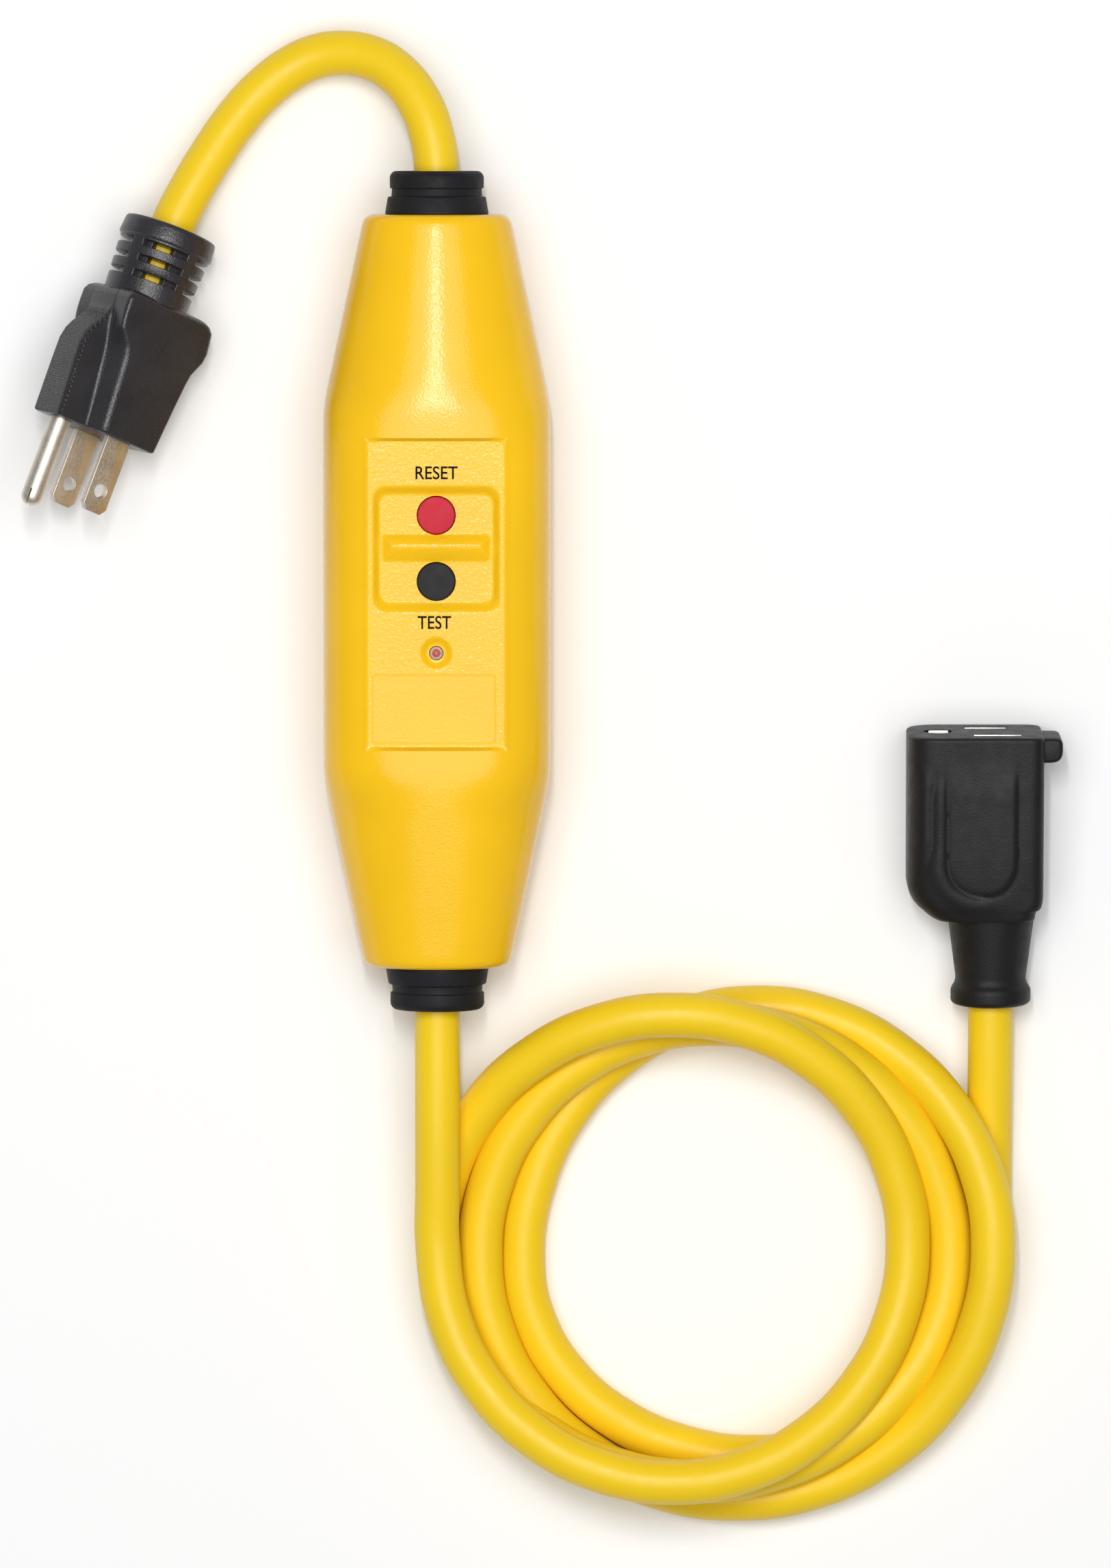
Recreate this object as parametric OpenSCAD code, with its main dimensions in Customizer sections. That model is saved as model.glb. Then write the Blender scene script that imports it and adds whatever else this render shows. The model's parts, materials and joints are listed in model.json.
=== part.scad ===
// Inline ground-fault cord set: a three-prong plug, a short cord, a housing with RESET and TEST buttons,
// a coiled output cord and a three-hole connector. Everything lies on z = 0. The housing's long axis is Y,
// its input end is at +Y, its controls face +Z, and the origin is under the middle of the housing.

/* [Housing] */
// Width across the middle of the housing
housing_w = 50.5; // [49:0.5:53]
// Length between the two end faces
housing_l = 167; // [165:0.5:170]
// Height from the resting face to the top of the crown
housing_h = 38; // [37.5:0.25:39]
// Width of an end face
end_w = 32.2; // [31:0.2:34]
// Height of an end face
end_h = 28; // [27:0.5:30]
// Half the length of the straight middle
shoulder_y = 41; // [40:0.5:43]
// Thickness of the casing wall
wall = 2.5; // [2.3:0.1:2.7]
// Height of the joint between the two covers
split_z = 17; // [16.5:0.25:17.5]

/* [Controls] */
// Width of the flat control panel
panel_w = 31.3; // [30.5:0.1:32]
// Depth of the panel below the crown
panel_depth = 1.6; // [1.5:0.05:1.7]
// Diameter of both buttons
button_d = 8.2; // [8:0.05:8.3]
// Distance of the RESET button from the middle
reset_y = 17.4; // [17.3:0.05:17.5]
// Distance of the TEST button from the middle
test_y = 2.8; // [2.7:0.05:2.9]
// Distance of the indicator lamp from the middle
lamp_y = -13; // [-13.4:0.1:-12.7]

/* [Cord] */
// Outer diameter of the cord's jacket
cord_d = 10; // [9.6:0.1:10]
// Radius of the cord's centreline in a turn of the coil
coil_r = 52.5; // [52:0.1:53]
// Height of the coil
coil_h = 30; // [29:0.5:31]

/* [Plug] */
// Distance between the two blades
blade_spacing = 12.7; // [12.7:0.1:12.7]
// Distance from the blades' plane to the ground pin or ground hole
ground_offset = 11.9; // [11.9:0.1:11.9]
// Width of a blade
blade_w = 6.35; // [6.3:0.05:6.4]
// Thickness of a blade
blade_t = 1.52; // [1.5:0.01:1.55]
// Length of a blade outside the plug
blade_l = 17; // [16.5:0.1:18]
// Diameter of the ground pin
pin_d = 4.75; // [4.7:0.05:4.8]
// Length of the ground pin outside the plug
pin_l = 20.6; // [20:0.1:21]

/* [Connector] */
// Width of the connector's body
connector_w = 30.3; // [30:0.1:31]
// Thickness of the connector's body at its face
connector_t = 26.6; // [26:0.1:27]
// Radius of the connector's ground hole
ground_hole_r = 2.6; // [2.5:0.05:2.7]

/* [Hidden] */

$fn = 48;
gap = 0.3;             // air between pieces that move past each other
running_gap = 0.2;     // air round a guided button or stem
cut = 1;               // how far a cutting shape runs past a face
slab = 0.5;            // thickness of the slices that a hull is stretched over

// Colours
amber = "#f7c325";
lemon = "#f4d52a";
jet = "#2a2a2d";
nickel = "#b0a28e";

// Heights and places in the housing
mid_z = housing_h / 2;
half_l = housing_l / 2;
rim_z = housing_h - panel_depth;            // the panel's flat face
recess_z = rim_z - 1.5;                     // floor of the button recess
pad_z = 32.2;                               // inner face behind the panel
button_top_z = recess_z + 1.1;
flange_z = 30.4;                            // underside of a button's flange
panel_half_l = 34.5;
screw_x = 16.5;
screw_y = 57;
clamp_y = 73;
gland_l = 9.6;

// Circuit board and what stands on it
board_w = 31;
board_l = 90;
board_t = 1.6;
board_z = 8;
top_z = board_z + board_t;
board_screw_x = 12.5;
board_screw_y = 40;

// Switch mechanism under the RESET button
carriage_z = 16;
carriage_h = 4;
cap_z = 24;
cap_t = 2;
pole_x = 9.9;                               // distance of each pole from the middle
pole_w = 3.6;
contact_y_in = 20.9;
contact_y_out = 13.9;
tail_y_in = 27.1;                           // where the input contacts stand on the board
tail_y_out = 7.7;                           // where the output contacts stand on the board
neck_z = 17;
neck_h = 2;
latch_z = 17.5;
arm_pivot_x = -7.2;
arm_z = 22;

// Solenoid behind the switch
solenoid_y0 = 28.1;
solenoid_y1 = 44.1;
solenoid_z = 17;
plunger_tip_y = 26.4;
plunger_head_y = 49.1;

// Transformer
transformer_y0 = -38;
transformer_y1 = -24;
transformer_z = 20;
conductor_d = 3.4;

// Plug and connector
plug_face = [-75.8, 34.9, 19.5];
plug_turn = -20.4;
plug_tilt = 8;
plug_roll = 55;
plug_l = 48.6;
relief_l = 18.3;
slot_start = 4.6;                           // first row of slots in the plug's strain relief
slot_pitch = 3.3;
slot_h = 1.5;
root_l = 12;                                // how far the blades and the pin run into the plug
pin_neck = 0.3;                             // where the ground pin narrows at the face
contact_l = 11;                             // length of the connector's spring contacts
hole_depth = 9;                             // depth of the connector's slots and ground hole
connector_end = [123.5, -92.7, 9.05];
connector_tilt = 4;
connector_l = 61.3;

// Routes of the cords' centrelines
input_route = [[0, 70, 19], [0, 84, 19], [0, 93, 19], [-1.1, 100.9, 18.4], [-3.8, 108.2, 16.6],
               [-8.4, 114.3, 14], [-14.3, 118, 11.2], [-21.1, 119.2, 9], [-27, 118.4, 7.6],
               [-32.6, 115.8, 7], [-38.6, 111.2, 7.1], [-44.3, 105, 8.1], [-50.4, 96.2, 9.8],
               [-54.9, 88.6, 11.3], [-58.2, 82.1, 12.4], [-61.4, 73.7, 13.7], [-64.5, 65.2, 15]];
lead_route = [[0, -70, 19], [0, -84, 19], [0, -93, 19], [0, -106, 18.7], [0, -118, 18.1]];
tail_route = [[123.5, -124, 5.2], [123.5, -112, 6.8], [123.5, -102, 8.2], [123.5, -92.7, 9.05],
              [123.5, -76, 10.2]];

// Centres of the coil's three visible turns
coil_centres = [[52.5, -146.5], [62, -149.3], [71.4, -146.5]];

// ---- General shapes ----

// Outline of a rounded rectangle between two corners
function rounded_outline(x0, x1, y0, y1, r, steps = 6) =
    [for (k = [0:3], i = [0:steps])
        let (cx = (k == 0 || k == 3) ? x1 - r : x0 + r,
             cy = k < 2 ? y1 - r : y0 + r,
             a = 90 * k + 90 * i / steps)
        [cx + r * cos(a), cy + r * sin(a)]];

// One ring of a tube: points round p, square to direction t
function tube_ring(p, t, r, sides) =
    let (u = t / norm(t), s = cross(u, [0, 0, 1]) / norm(cross(u, [0, 0, 1])), v = cross(s, u))
    [for (i = [0:sides - 1]) p + r * (cos(360 * i / sides) * s + sin(360 * i / sides) * v)];

// Faces of a solid whose skin joins equal rings of points, one after another
function loft_faces(rings, sides) = concat(
    [[for (i = [0:sides - 1]) i]],
    [for (k = [0:rings - 2], i = [0:sides - 1])
        let (a = k * sides + i, b = k * sides + (i + 1) % sides)
        each [[b, a, a + sides], [b, a + sides, b + sides]]],
    [[for (i = [sides - 1:-1:0]) (rings - 1) * sides + i]]);

// A round tube swept along a route
module tube(route, d, sides = 12) {
    last = len(route) - 1;
    points = [for (k = [0:last])
        each tube_ring(route[k], route[min(k + 1, last)] - route[max(k - 1, 0)], d / 2, sides)];
    polyhedron(points, loft_faces(last + 1, sides));
}

// A coil spring that stands on z = 0
module spring(height, r, wire_d, turns) {
    steps = turns * 12;
    rise = height - wire_d;
    route = [for (i = [0:steps])
        [r * cos(30 * i), r * sin(30 * i), wire_d / 2 + rise * i / steps]];
    tube(route, wire_d, 6);
}

// A cylinder that runs along +Y from y0 to y1
module rod_y(y0, y1, r, z = mid_z, x = 0, r_end = -1) {
    translate([x, y0, z]) rotate([-90, 0, 0])
        cylinder(h = y1 - y0, r1 = r, r2 = r_end < 0 ? r : r_end);
}

// A box between two corners
module block(low, high) {
    translate(low) cube(high - low);
}

// One shape and its mirror image across the X = 0 plane
module both_sides() {
    children();
    mirror([1, 0, 0]) children();
}

// A pan-head screw that points along +Z, with its head below z = 0
module screw(d, length, head_d, head_h) {
    cylinder(h = length, d = d);
    difference() {
        translate([0, 0, -head_h]) cylinder(h = head_h, d = head_d);
        for (a = [0, 90])
            rotate([0, 0, a]) block([-head_d / 3, -0.4, -head_h - cut], [head_d / 3, 0.4, -head_h / 2]);
    }
}

// ---- Housing ----

// Cross-section of the housing's middle: a crowned top and sides, with a flat land underneath
function section(w, h) =
    let (n = 3, land = 0.6, steps = 48,
         low = asin(pow(h / (h + 2 * land), n / 2)))
    [for (i = [0:steps])
        let (a = -low + (180 + 2 * low) * i / steps,
             x = w / 2 * sign(cos(a)) * pow(abs(cos(a)), 2 / n),
             rise = pow(abs(sin(a)), 2 / n))
        [x, sin(a) < 0 ? -(h / 2 + land) * rise : h / 2 * rise]];

// Outline of a long shape that keeps its width to the shoulders and then tapers to both ends
function tapered_outline(middle, end, inset) =
    let (x0 = end / 2 - inset, x1 = middle / 2 - inset, y0 = half_l - inset, y1 = shoulder_y - inset / 4)
    [[x0, y0], [x1, y1], [x1, -y1], [x0, -y0], [-x0, -y0], [-x1, -y1], [-x1, y1], [-x0, y0]];

// The housing's solid outer form, or its cavity when inset is the wall
module housing_form(inset = 0) {
    intersection() {
        translate([0, 0, mid_z]) rotate([90, 0, 0])
            linear_extrude(height = housing_l, center = true)
                polygon(section(housing_w - 2 * inset, housing_h - 2 * inset));
        translate([0, 0, -cut])
            linear_extrude(height = housing_h + 2 * cut) polygon(tapered_outline(housing_w, end_w, inset));
        translate([0, 0, mid_z]) rotate([0, 90, 0])
            linear_extrude(height = housing_w + 2 * cut, center = true)
                polygon(tapered_outline(housing_h, end_h, inset));
    }
}

module cover_posts(d) {
    for (x = [-screw_x, screw_x], y = [-screw_y, screw_y])
        translate([x, y, 0]) cylinder(h = housing_h, d = d);
}

module gland_holes() {
    for (s = [-1, 1])
        rod_y(s > 0 ? half_l - wall - cut : -half_l - cut, s > 0 ? half_l + cut : -half_l + wall + cut, 9.2);
}

// The gasket, in a groove round the rim of the rear cover
module gasket_ring() {
    translate([0, 0, split_z - 0.9])
        difference() {
            linear_extrude(height = 0.9)
                difference() {
                    polygon(tapered_outline(housing_w, end_w, 0.9));
                    polygon(tapered_outline(housing_w, end_w, 1.8));
                }
            rod_y(-half_l - cut, half_l + cut, 9.6, mid_z - split_z + 0.9);
        }
}

module rear_cover() {
    color(amber)
        difference() {
            intersection() {
                housing_form();
                block([-housing_w, -housing_l, 0], [housing_w, housing_l, split_z]);
            }
            difference() {
                housing_form(wall);
                cover_posts(7);
                for (x = [-board_screw_x, board_screw_x], y = [-board_screw_y, board_screw_y])
                    translate([x, y, 0]) cylinder(h = board_z, d = 6);
                for (y = [-clamp_y, clamp_y])
                    block([-12.5, y - 3, 0], [12.5, y + 3, split_z]);
            }
            cover_posts(3.4);
            for (x = [-screw_x, screw_x], y = [-screw_y, screw_y])
                translate([x, y, -cut]) cylinder(h = 9 + cut, d = 6.2);
            for (x = [-board_screw_x, board_screw_x], y = [-board_screw_y, board_screw_y])
                translate([x, y, 3.6]) cylinder(h = board_z, d = 2.5);
            for (x = [-8.8, 8.8], y = [-clamp_y, clamp_y])
                translate([x, y, 9.9]) cylinder(h = split_z, d = 2.9);
            rod_y(-half_l + wall, -half_l + wall + 20, cord_d / 2 + 0.05);
            rod_y(half_l - wall - 20, half_l - wall, cord_d / 2 + 0.05);
            gland_holes();
            gasket_ring();
        }
}

// The sunken field that the two buttons stand in, with the ridge between them left standing
module button_recess() {
    difference() {
        hull() {
            translate([0, 0, rim_z]) linear_extrude(height = cut)
                polygon(rounded_outline(-14, 14, -4, 23.9, 2.8));
            translate([0, 0, recess_z]) linear_extrude(height = 0.1)
                polygon(rounded_outline(-12.5, 12.5, -1.8, 22, 2.2));
        }
        translate([0, 10.1, recess_z - cut]) rotate([90, 0, 90])
            linear_extrude(height = 23.6, center = true)
                polygon([[-2.8, 0], [-2.8, cut], [-0.4, cut + 1.3], [1.2, cut + 1.3], [3, cut], [3, 0]]);
    }
}

module front_cover() {
    color(amber)
        difference() {
            intersection() {
                housing_form();
                block([-housing_w, -housing_l, split_z], [housing_w, housing_l, housing_h + cut]);
            }
            difference() {
                housing_form(wall);
                cover_posts(7);
                block([-17, -panel_half_l - 2, pad_z], [17, panel_half_l + 2, housing_h]);
            }
            block([-panel_w / 2, -panel_half_l, rim_z], [panel_w / 2, panel_half_l, housing_h + cut]);
            button_recess();
            for (y = [reset_y, test_y])
                translate([0, y, pad_z - cut]) {
                    cylinder(h = housing_h, d = button_d + 2 * running_gap);
                    cylinder(h = cut + 1.2, d = 11.2);
                }
            translate([0, lamp_y, 0]) {
                translate([0, 0, pad_z - cut]) cylinder(h = housing_h, d = 3.2);
                translate([0, 0, rim_z - 0.9]) cylinder(h = 0.9, r1 = 2.4, r2 = 3.6);
                translate([0, 0, rim_z]) cylinder(h = cut, r = 3.6);
            }
            for (x = [-screw_x, screw_x], y = [-screw_y, screw_y])
                translate([x, y, split_z - cut]) cylinder(h = 10 + cut, d = 2.9);
            gland_holes();
        }
}

module cover_gasket() {
    color("#303030") gasket_ring();
}

module label_plate() {
    color("#f9cb3a")
        translate([0, 0, rim_z]) linear_extrude(height = 0.25)
            polygon(rounded_outline(-14.2, 13.2, -33.1, -17.6, 1));
}

module cover_screws() {
    color("#a8a8a8")
        for (x = [-screw_x, screw_x], y = [-screw_y, screw_y])
            translate([x, y, 9]) screw(2.9, 17.5, 5.6, 2);
}

// A rubber bushing: inner flange, neck through the wall, tapered collar, groove and end flange
module gland(s) {
    color(jet)
        rotate([0, 0, s > 0 ? 0 : 180])
            translate([0, half_l, mid_z]) rotate([-90, 0, 0])
                rotate_extrude($fn = 64)
                    polygon([[cord_d / 2 + 0.05, -4.8], [10.2, -4.8], [10.2, -wall], [9.15, -wall], [9.15, 0],
                             [11.45, 0], [10.9, 3.8], [10.1, 3.9], [10.1, 5.6], [10.4, 5.7], [10.4, 8.8],
                             [10.15, 9.3], [9.6, gland_l], [cord_d / 2 + 0.05, gland_l]]);
}

module cord_clamp(y) {
    color("#c9c9c4")
        difference() {
            block([-12, y - 2.5, mid_z + 0.4], [12, y + 2.5, mid_z + 6]);
            rod_y(y - 4, y + 4, cord_d / 2 + 0.05);
            for (x = [-8.8, 8.8])
                translate([x, y, mid_z]) cylinder(h = 8, d = 3.3);
        }
}

module clamp_screws() {
    color("#a8a8a8")
        for (x = [-8.8, 8.8], y = [-clamp_y, clamp_y])
            translate([x, y, mid_z + 6]) rotate([180, 0, 0]) screw(2.9, 15, 5.4, 2);
}

// ---- Circuit board ----

module circuit_board() {
    color("#2f6b3a")
        difference() {
            block([-board_w / 2, -board_l / 2, board_z], [board_w / 2, board_l / 2, top_z]);
            for (x = [-board_screw_x, board_screw_x], y = [-board_screw_y, board_screw_y])
                translate([x, y, board_z - cut]) cylinder(h = board_t + 2 * cut, d = 2.8);
        }
}

module board_screws() {
    color("#a8a8a8")
        for (x = [-board_screw_x, board_screw_x], y = [-board_screw_y, board_screw_y])
            translate([x, y, top_z]) rotate([180, 0, 0]) screw(2.5, 6, 4.6, 1.6);
}

module transformer_housing() {
    color("#e8e6dc") {
        difference() {
            union() {
                rod_y(transformer_y0, transformer_y1, 10, transformer_z);
                block([-6, transformer_y0, top_z], [6, transformer_y1, transformer_z - 8]);
            }
            difference() {
                rod_y(transformer_y0 - cut, transformer_y1 - 1, 9.2, transformer_z);
                rod_y(transformer_y0, transformer_y1, 4.5, transformer_z);
            }
            rod_y(transformer_y0 - cut, transformer_y1 + cut, 3.9, transformer_z);
        }
    }
}

module transformer_core(y0) {
    color("#6f6a60")
        difference() {
            rod_y(y0, y0 + 5.4, 8.8, transformer_z);
            rod_y(y0 - cut, y0 + 5.4 + cut, 4.8, transformer_z);
        }
}

module surge_varistor() {
    color("#d77a2a") {
        translate([12, -2, 15]) rotate([0, 90, 0]) cylinder(h = 3.4, r = 4.9);
        for (y = [-4.5, 0.5])
            translate([13.7, y, top_z]) cylinder(h = 2.5, d = 0.8);
    }
}

module filter_capacitor() {
    color("#d9b93a") block([-15.3, -8, top_z], [-12, 4, top_z + 9]);
}

module control_chip() {
    color("#222222") {
        block([-2.6, -21.5, top_z + 0.2], [2.6, -17.5, top_z + 1.7]);
        for (s = [-1, 1], k = [0:3])
            block([s * 2.6 - 0.8, -21.3 + k * 1.1, top_z], [s * 2.6 + 0.8, -20.9 + k * 1.1, top_z + 0.8]);
    }
}

module test_resistor() {
    color("#c8a56a") {
        rod_y(-17, -11, 1.3, top_z + 1.5, 13.4);
        block([13, -18.6, top_z], [13.8, -17, top_z + 1.9]);
        block([13, -11, top_z], [13.8, -9.4, top_z + 1.9]);
    }
}

module rectifier_diodes() {
    color("#3a3a3a")
        for (k = [0:3])
            translate([-14.6, -11.5 - 2.8 * k, top_z + 1]) rotate([0, 90, 0]) cylinder(h = 4, r = 1);
}

// ---- Solenoid: it drives the latch when a fault is sensed ----

module solenoid_frame() {
    color("#9b9b9b")
        difference() {
            union() {
                for (y = [solenoid_y0, solenoid_y1 - 1.2])
                    block([-7.5, y, top_z], [7.5, y + 1.2, solenoid_z + 7]);
                block([-7.5, solenoid_y0, top_z], [7.5, solenoid_y1, top_z + 1]);
            }
            rod_y(solenoid_y0 - cut, solenoid_y1 + cut, 2.75, solenoid_z);
        }
}

module solenoid_bobbin() {
    color("#e4e0d4")
        difference() {
            union() {
                rod_y(solenoid_y0 + 1.2, solenoid_y1 - 1.2, 3.5, solenoid_z);
                for (y = [solenoid_y0 + 1.2, solenoid_y1 - 2.2])
                    rod_y(y, y + 1, 6.2, solenoid_z);
            }
            rod_y(solenoid_y0, solenoid_y1, 2.75, solenoid_z);
        }
}

module solenoid_coil() {
    color("#b5622f")
        difference() {
            rod_y(solenoid_y0 + 2.2, solenoid_y1 - 2.2, 5.9, solenoid_z);
            rod_y(solenoid_y0, solenoid_y1, 3.5, solenoid_z);
        }
}

module solenoid_plunger() {
    color("#8f8f8f") {
        rod_y(plunger_tip_y, plunger_head_y + 1.5, 2.45, solenoid_z);
        rod_y(plunger_head_y, plunger_head_y + 1.5, 4.5, solenoid_z);
    }
}

module plunger_spring() {
    color("#c0c0c0")
        translate([0, solenoid_y1 + 0.1, solenoid_z]) rotate([-90, 0, 0]) spring(4.8, 3.3, 0.5, 3);
}

// ---- Switch: a carriage with two bridging contacts hangs on the RESET stem ----

module switch_frame() {
    color("#d8d5ca")
        difference() {
            block([-14, reset_y - 8, top_z], [14, reset_y + 8, cap_z]);
            block([-12.4, reset_y - 6, top_z + 1.4], [12.4, reset_y + 6, cap_z + cut]);
            for (s = [-1, 1])
                block([s * pole_x - 2.1, reset_y - 9, 21.3], [s * pole_x + 2.1, reset_y + 9, cap_z + cut]);
            block([-2.9, reset_y + 5, 12], [2.9, reset_y + 9, 21.5]);
        }
}

// Lid of the switch, with guides for both stems and a foot under the TEST button
module switch_cap() {
    color("#c8c5ba")
        difference() {
            union() {
                block([-14, reset_y - 8, cap_z], [14, reset_y + 8, cap_z + cap_t]);
                block([-8, -2.9, cap_z], [8, reset_y - 8, cap_z + cap_t]);
                both_sides() block([5, -2.9, top_z], [8, -1.3, cap_z]);
            }
            translate([0, reset_y, cap_z - cut]) cylinder(h = cap_t + 2 * cut, r = 1.5 + running_gap);
            translate([0, test_y, cap_z - cut]) cylinder(h = cap_t + 2 * cut, r = 1.2 + running_gap);
        }
}

module contact_carriage() {
    color("#3b5f8a")
        difference() {
            block([-12.1, reset_y - 5.7, carriage_z], [12.1, reset_y + 5.7, carriage_z + carriage_h]);
            translate([0, reset_y, carriage_z - cut]) cylinder(h = carriage_h + 2 * cut, r = 1.5 + running_gap);
            block([-3.7, reset_y - 6.5, latch_z - gap], [3.7, reset_y + 6.5, latch_z + 1 + gap]);
        }
}

// The keyhole plate that holds the stem's neck
module latch_plate() {
    color("#b9b9b9")
        difference() {
            union() {
                block([-3.4, reset_y - 3, latch_z], [3.4, reset_y + 5.2, latch_z + 1]);
                block([-2.2, reset_y + 5.2, latch_z], [2.2, plunger_tip_y - gap, latch_z + 1]);
            }
            translate([0, reset_y, latch_z - cut]) cylinder(h = 3, r = 1.3);
            block([-1.3, reset_y, latch_z - cut], [1.3, reset_y + 2.5, latch_z + 1 + cut]);
            translate([0, reset_y + 2.5, latch_z - cut]) cylinder(h = 3, r = 1.8);
        }
}

module moving_contacts() {
    base_z = carriage_z + carriage_h;
    color("#c98b3c")
        both_sides() {
            block([pole_x - pole_w / 2, reset_y - 5.3, base_z], [pole_x + pole_w / 2, reset_y + 5.3, base_z + 0.8]);
            for (y = [contact_y_out, contact_y_in])
                translate([pole_x, y, base_z]) cylinder(h = 1.6, r = 1.5);
        }
}

// Two fixed contacts: tips over the carriage, and tails that run down to the board at y_tail
module fixed_contacts(y_tip, y_tail) {
    y0 = min(y_tip - 1.5, y_tail);
    y1 = max(y_tip + 1.5, y_tail);
    tail0 = y_tail > y_tip ? y_tail - 0.8 : y_tail;
    color("#c98b3c")
        both_sides() {
            block([pole_x - pole_w / 2, y0, 22.3], [pole_x + pole_w / 2, y1, 23.1]);
            block([pole_x - pole_w / 2, tail0, top_z], [pole_x + pole_w / 2, tail0 + 0.8, 23.1]);
            translate([pole_x, y_tip, 21.75]) cylinder(h = 1, r = 1.5);
        }
}

// ---- Buttons, seals and the test contact ----

module button_cap(y, paint) {
    color(paint)
        translate([0, y, 0])
            rotate_extrude()
                polygon([[0, flange_z], [5.4, flange_z], [5.4, flange_z + 1.5], [button_d / 2, flange_z + 1.5],
                         [button_d / 2, button_top_z - 0.4], [button_d / 2 - 0.15, button_top_z - 0.1],
                         [button_d / 2 - 0.45, button_top_z], [0, button_top_z]]);
}

module reset_button() {
    button_cap(reset_y, "#cf3a45");
}

module reset_stem() {
    color("#9a9a9a")
        translate([0, reset_y, 0])
            rotate_extrude()
                polygon([[0, 13.5], [0.9, 13.5], [1.5, 14.5], [1.5, neck_z], [1.1, neck_z],
                         [1.1, neck_z + neck_h], [1.5, neck_z + neck_h], [1.5, flange_z], [0, flange_z]]);
}

module reset_spring() {
    color("#c0c0c0")
        translate([0, reset_y, cap_z + cap_t + 0.05]) spring(flange_z - cap_z - cap_t - 0.1, 2.9, 0.6, 3);
}

module test_button() {
    button_cap(test_y, "#2c2c2e");
    color("#2c2c2e")
        translate([0, test_y, arm_z + 0.5 + gap]) cylinder(h = flange_z - arm_z - 0.5 - gap, r = 1.2);
}

module test_spring() {
    color("#c0c0c0")
        translate([0, test_y, cap_z + cap_t + 0.05]) spring(flange_z - cap_z - cap_t - 0.1, 2.7, 0.6, 3);
}

// Two rubber rings round the buttons, behind the panel
module button_seals() {
    color("#1f1f1f")
        for (y = [reset_y, test_y])
            translate([0, y, pad_z + 0.05])
                difference() {
                    cylinder(h = 1.1, r = 5.5);
                    translate([0, 0, -cut]) cylinder(h = 4, r = button_d / 2 + 0.1);
                }
}

// The leaf that the TEST button bends onto the contact post
module test_contact_arm() {
    color("#c98b3c")
        block([arm_pivot_x - 0.8, test_y - 1.6, arm_z], [4, test_y + 1.6, arm_z + 0.5]);
}

module test_contact_posts() {
    color("#c98b3c") {
        translate([arm_pivot_x, test_y, top_z]) cylinder(h = arm_z - gap - top_z, r = 0.8);
        translate([3, test_y, top_z]) cylinder(h = 19.3 - top_z, r = 0.9);
    }
}

// ---- Indicator ----

module indicator_led() {
    color("#f2d9c8")
        translate([0, lamp_y, 0]) {
            rotate_extrude()
                polygon([[0, 30], [1.9, 30], [1.9, 31], [1.45, 31], [1.45, rim_z - 0.8],
                         [1.2, rim_z - 0.2], [0.7, rim_z + 0.2], [0, rim_z + 0.35]]);
            for (x = [-0.9, 0.9])
                translate([x, 0, top_z]) cylinder(h = 30 - top_z, d = 0.5, $fn = 16);
        }
}

module led_holder() {
    color("#2c2c2e")
        translate([0, lamp_y, top_z])
            difference() {
                cylinder(h = 29.9 - top_z, r = 2.5);
                translate([0, 0, -cut]) cylinder(h = 40, r = 1.5);
            }
}

// ---- Conductors inside the housing ----

module input_wire(s, paint) {
    color(paint)
        tube([[s * pole_x, tail_y_in, 14], [s * pole_x, 48, 14], [s * 2.1, 66, 20], [s * 2.1, 70, 20]], conductor_d);
}

module output_wire(s, paint) {
    color(paint)
        tube([[s * pole_x, tail_y_out, 14], [s * pole_x, -12, 14], [s * 2.1, -22.5, transformer_z],
              [s * 2.1, -40, transformer_z], [s * 2.1, -70, 20]], conductor_d);
}

module ground_wire() {
    color("#3f9a4a")
        tube([[0, 70, 15.6], [0, 67, 15.6], [7, 56, 7], [17.4, 46, 11.5], [17.4, -46, 11.5], [7, -56, 7],
              [0, -67, 15.6], [0, -70, 15.6]], conductor_d);
}

// ---- Cords ----

module input_cord() {
    color(lemon) tube(input_route, cord_d);
}

module output_cord_lead() {
    color(lemon) tube(lead_route, cord_d);
}

module output_cord_tail() {
    color(lemon) tube(tail_route, cord_d);
}

// Outer shape of the whole coil
module output_cord_coil() {
    color(lemon)
        linear_extrude(height = coil_h)
            difference() {
                union() {
                    for (c = coil_centres)
                        translate(c) circle(r = coil_r + cord_d / 2, $fn = 96);
                }
                intersection() {
                    translate(coil_centres[0]) circle(r = coil_r - cord_d / 2, $fn = 96);
                    translate(coil_centres[2]) circle(r = coil_r - cord_d / 2, $fn = 96);
                }
            }
}

// ---- Plug: local +Z points out of the face, +X from blade to blade, +Y to the ground pin ----

module in_plug() {
    translate(plug_face) rotate([90 - plug_tilt, 0, plug_turn]) rotate([0, 0, plug_roll]) children();
}

// The plug's outline seen from the side, as a prism across its width
module plug_side(outline) {
    rotate([90, 0, 90]) linear_extrude(height = 24, center = true) polygon(outline);
}

// A broad block with finger shoulders at the cord end, and a narrower lobe round the ground pin
module plug_form() {
    body_l = plug_l - relief_l;
    intersection() {
        translate([0, 0, -plug_l])
            linear_extrude(height = plug_l + cut) polygon(rounded_outline(-9.9, 9.9, -15.2, 12.6, 4.5));
        plug_side([[-10.4, 0], [-12.3, -19.8], [-14.2, -23], [-15.1, -27], [-12.8, -body_l],
                   [9, -body_l], [10.3, -28.2], [10.2, -24], [6.4, -19.5], [5.6, 0]]);
    }
    intersection() {
        translate([0, 0, -plug_l])
            linear_extrude(height = plug_l + cut) polygon(rounded_outline(-5.2, 5.2, 0, 15.1, 1.5));
        plug_side([[0, 0], [1, -26], [10.2, -27], [12.5, -23], [14.6, -19.5], [15.1, -17], [14.4, 0]]);
    }
}

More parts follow.
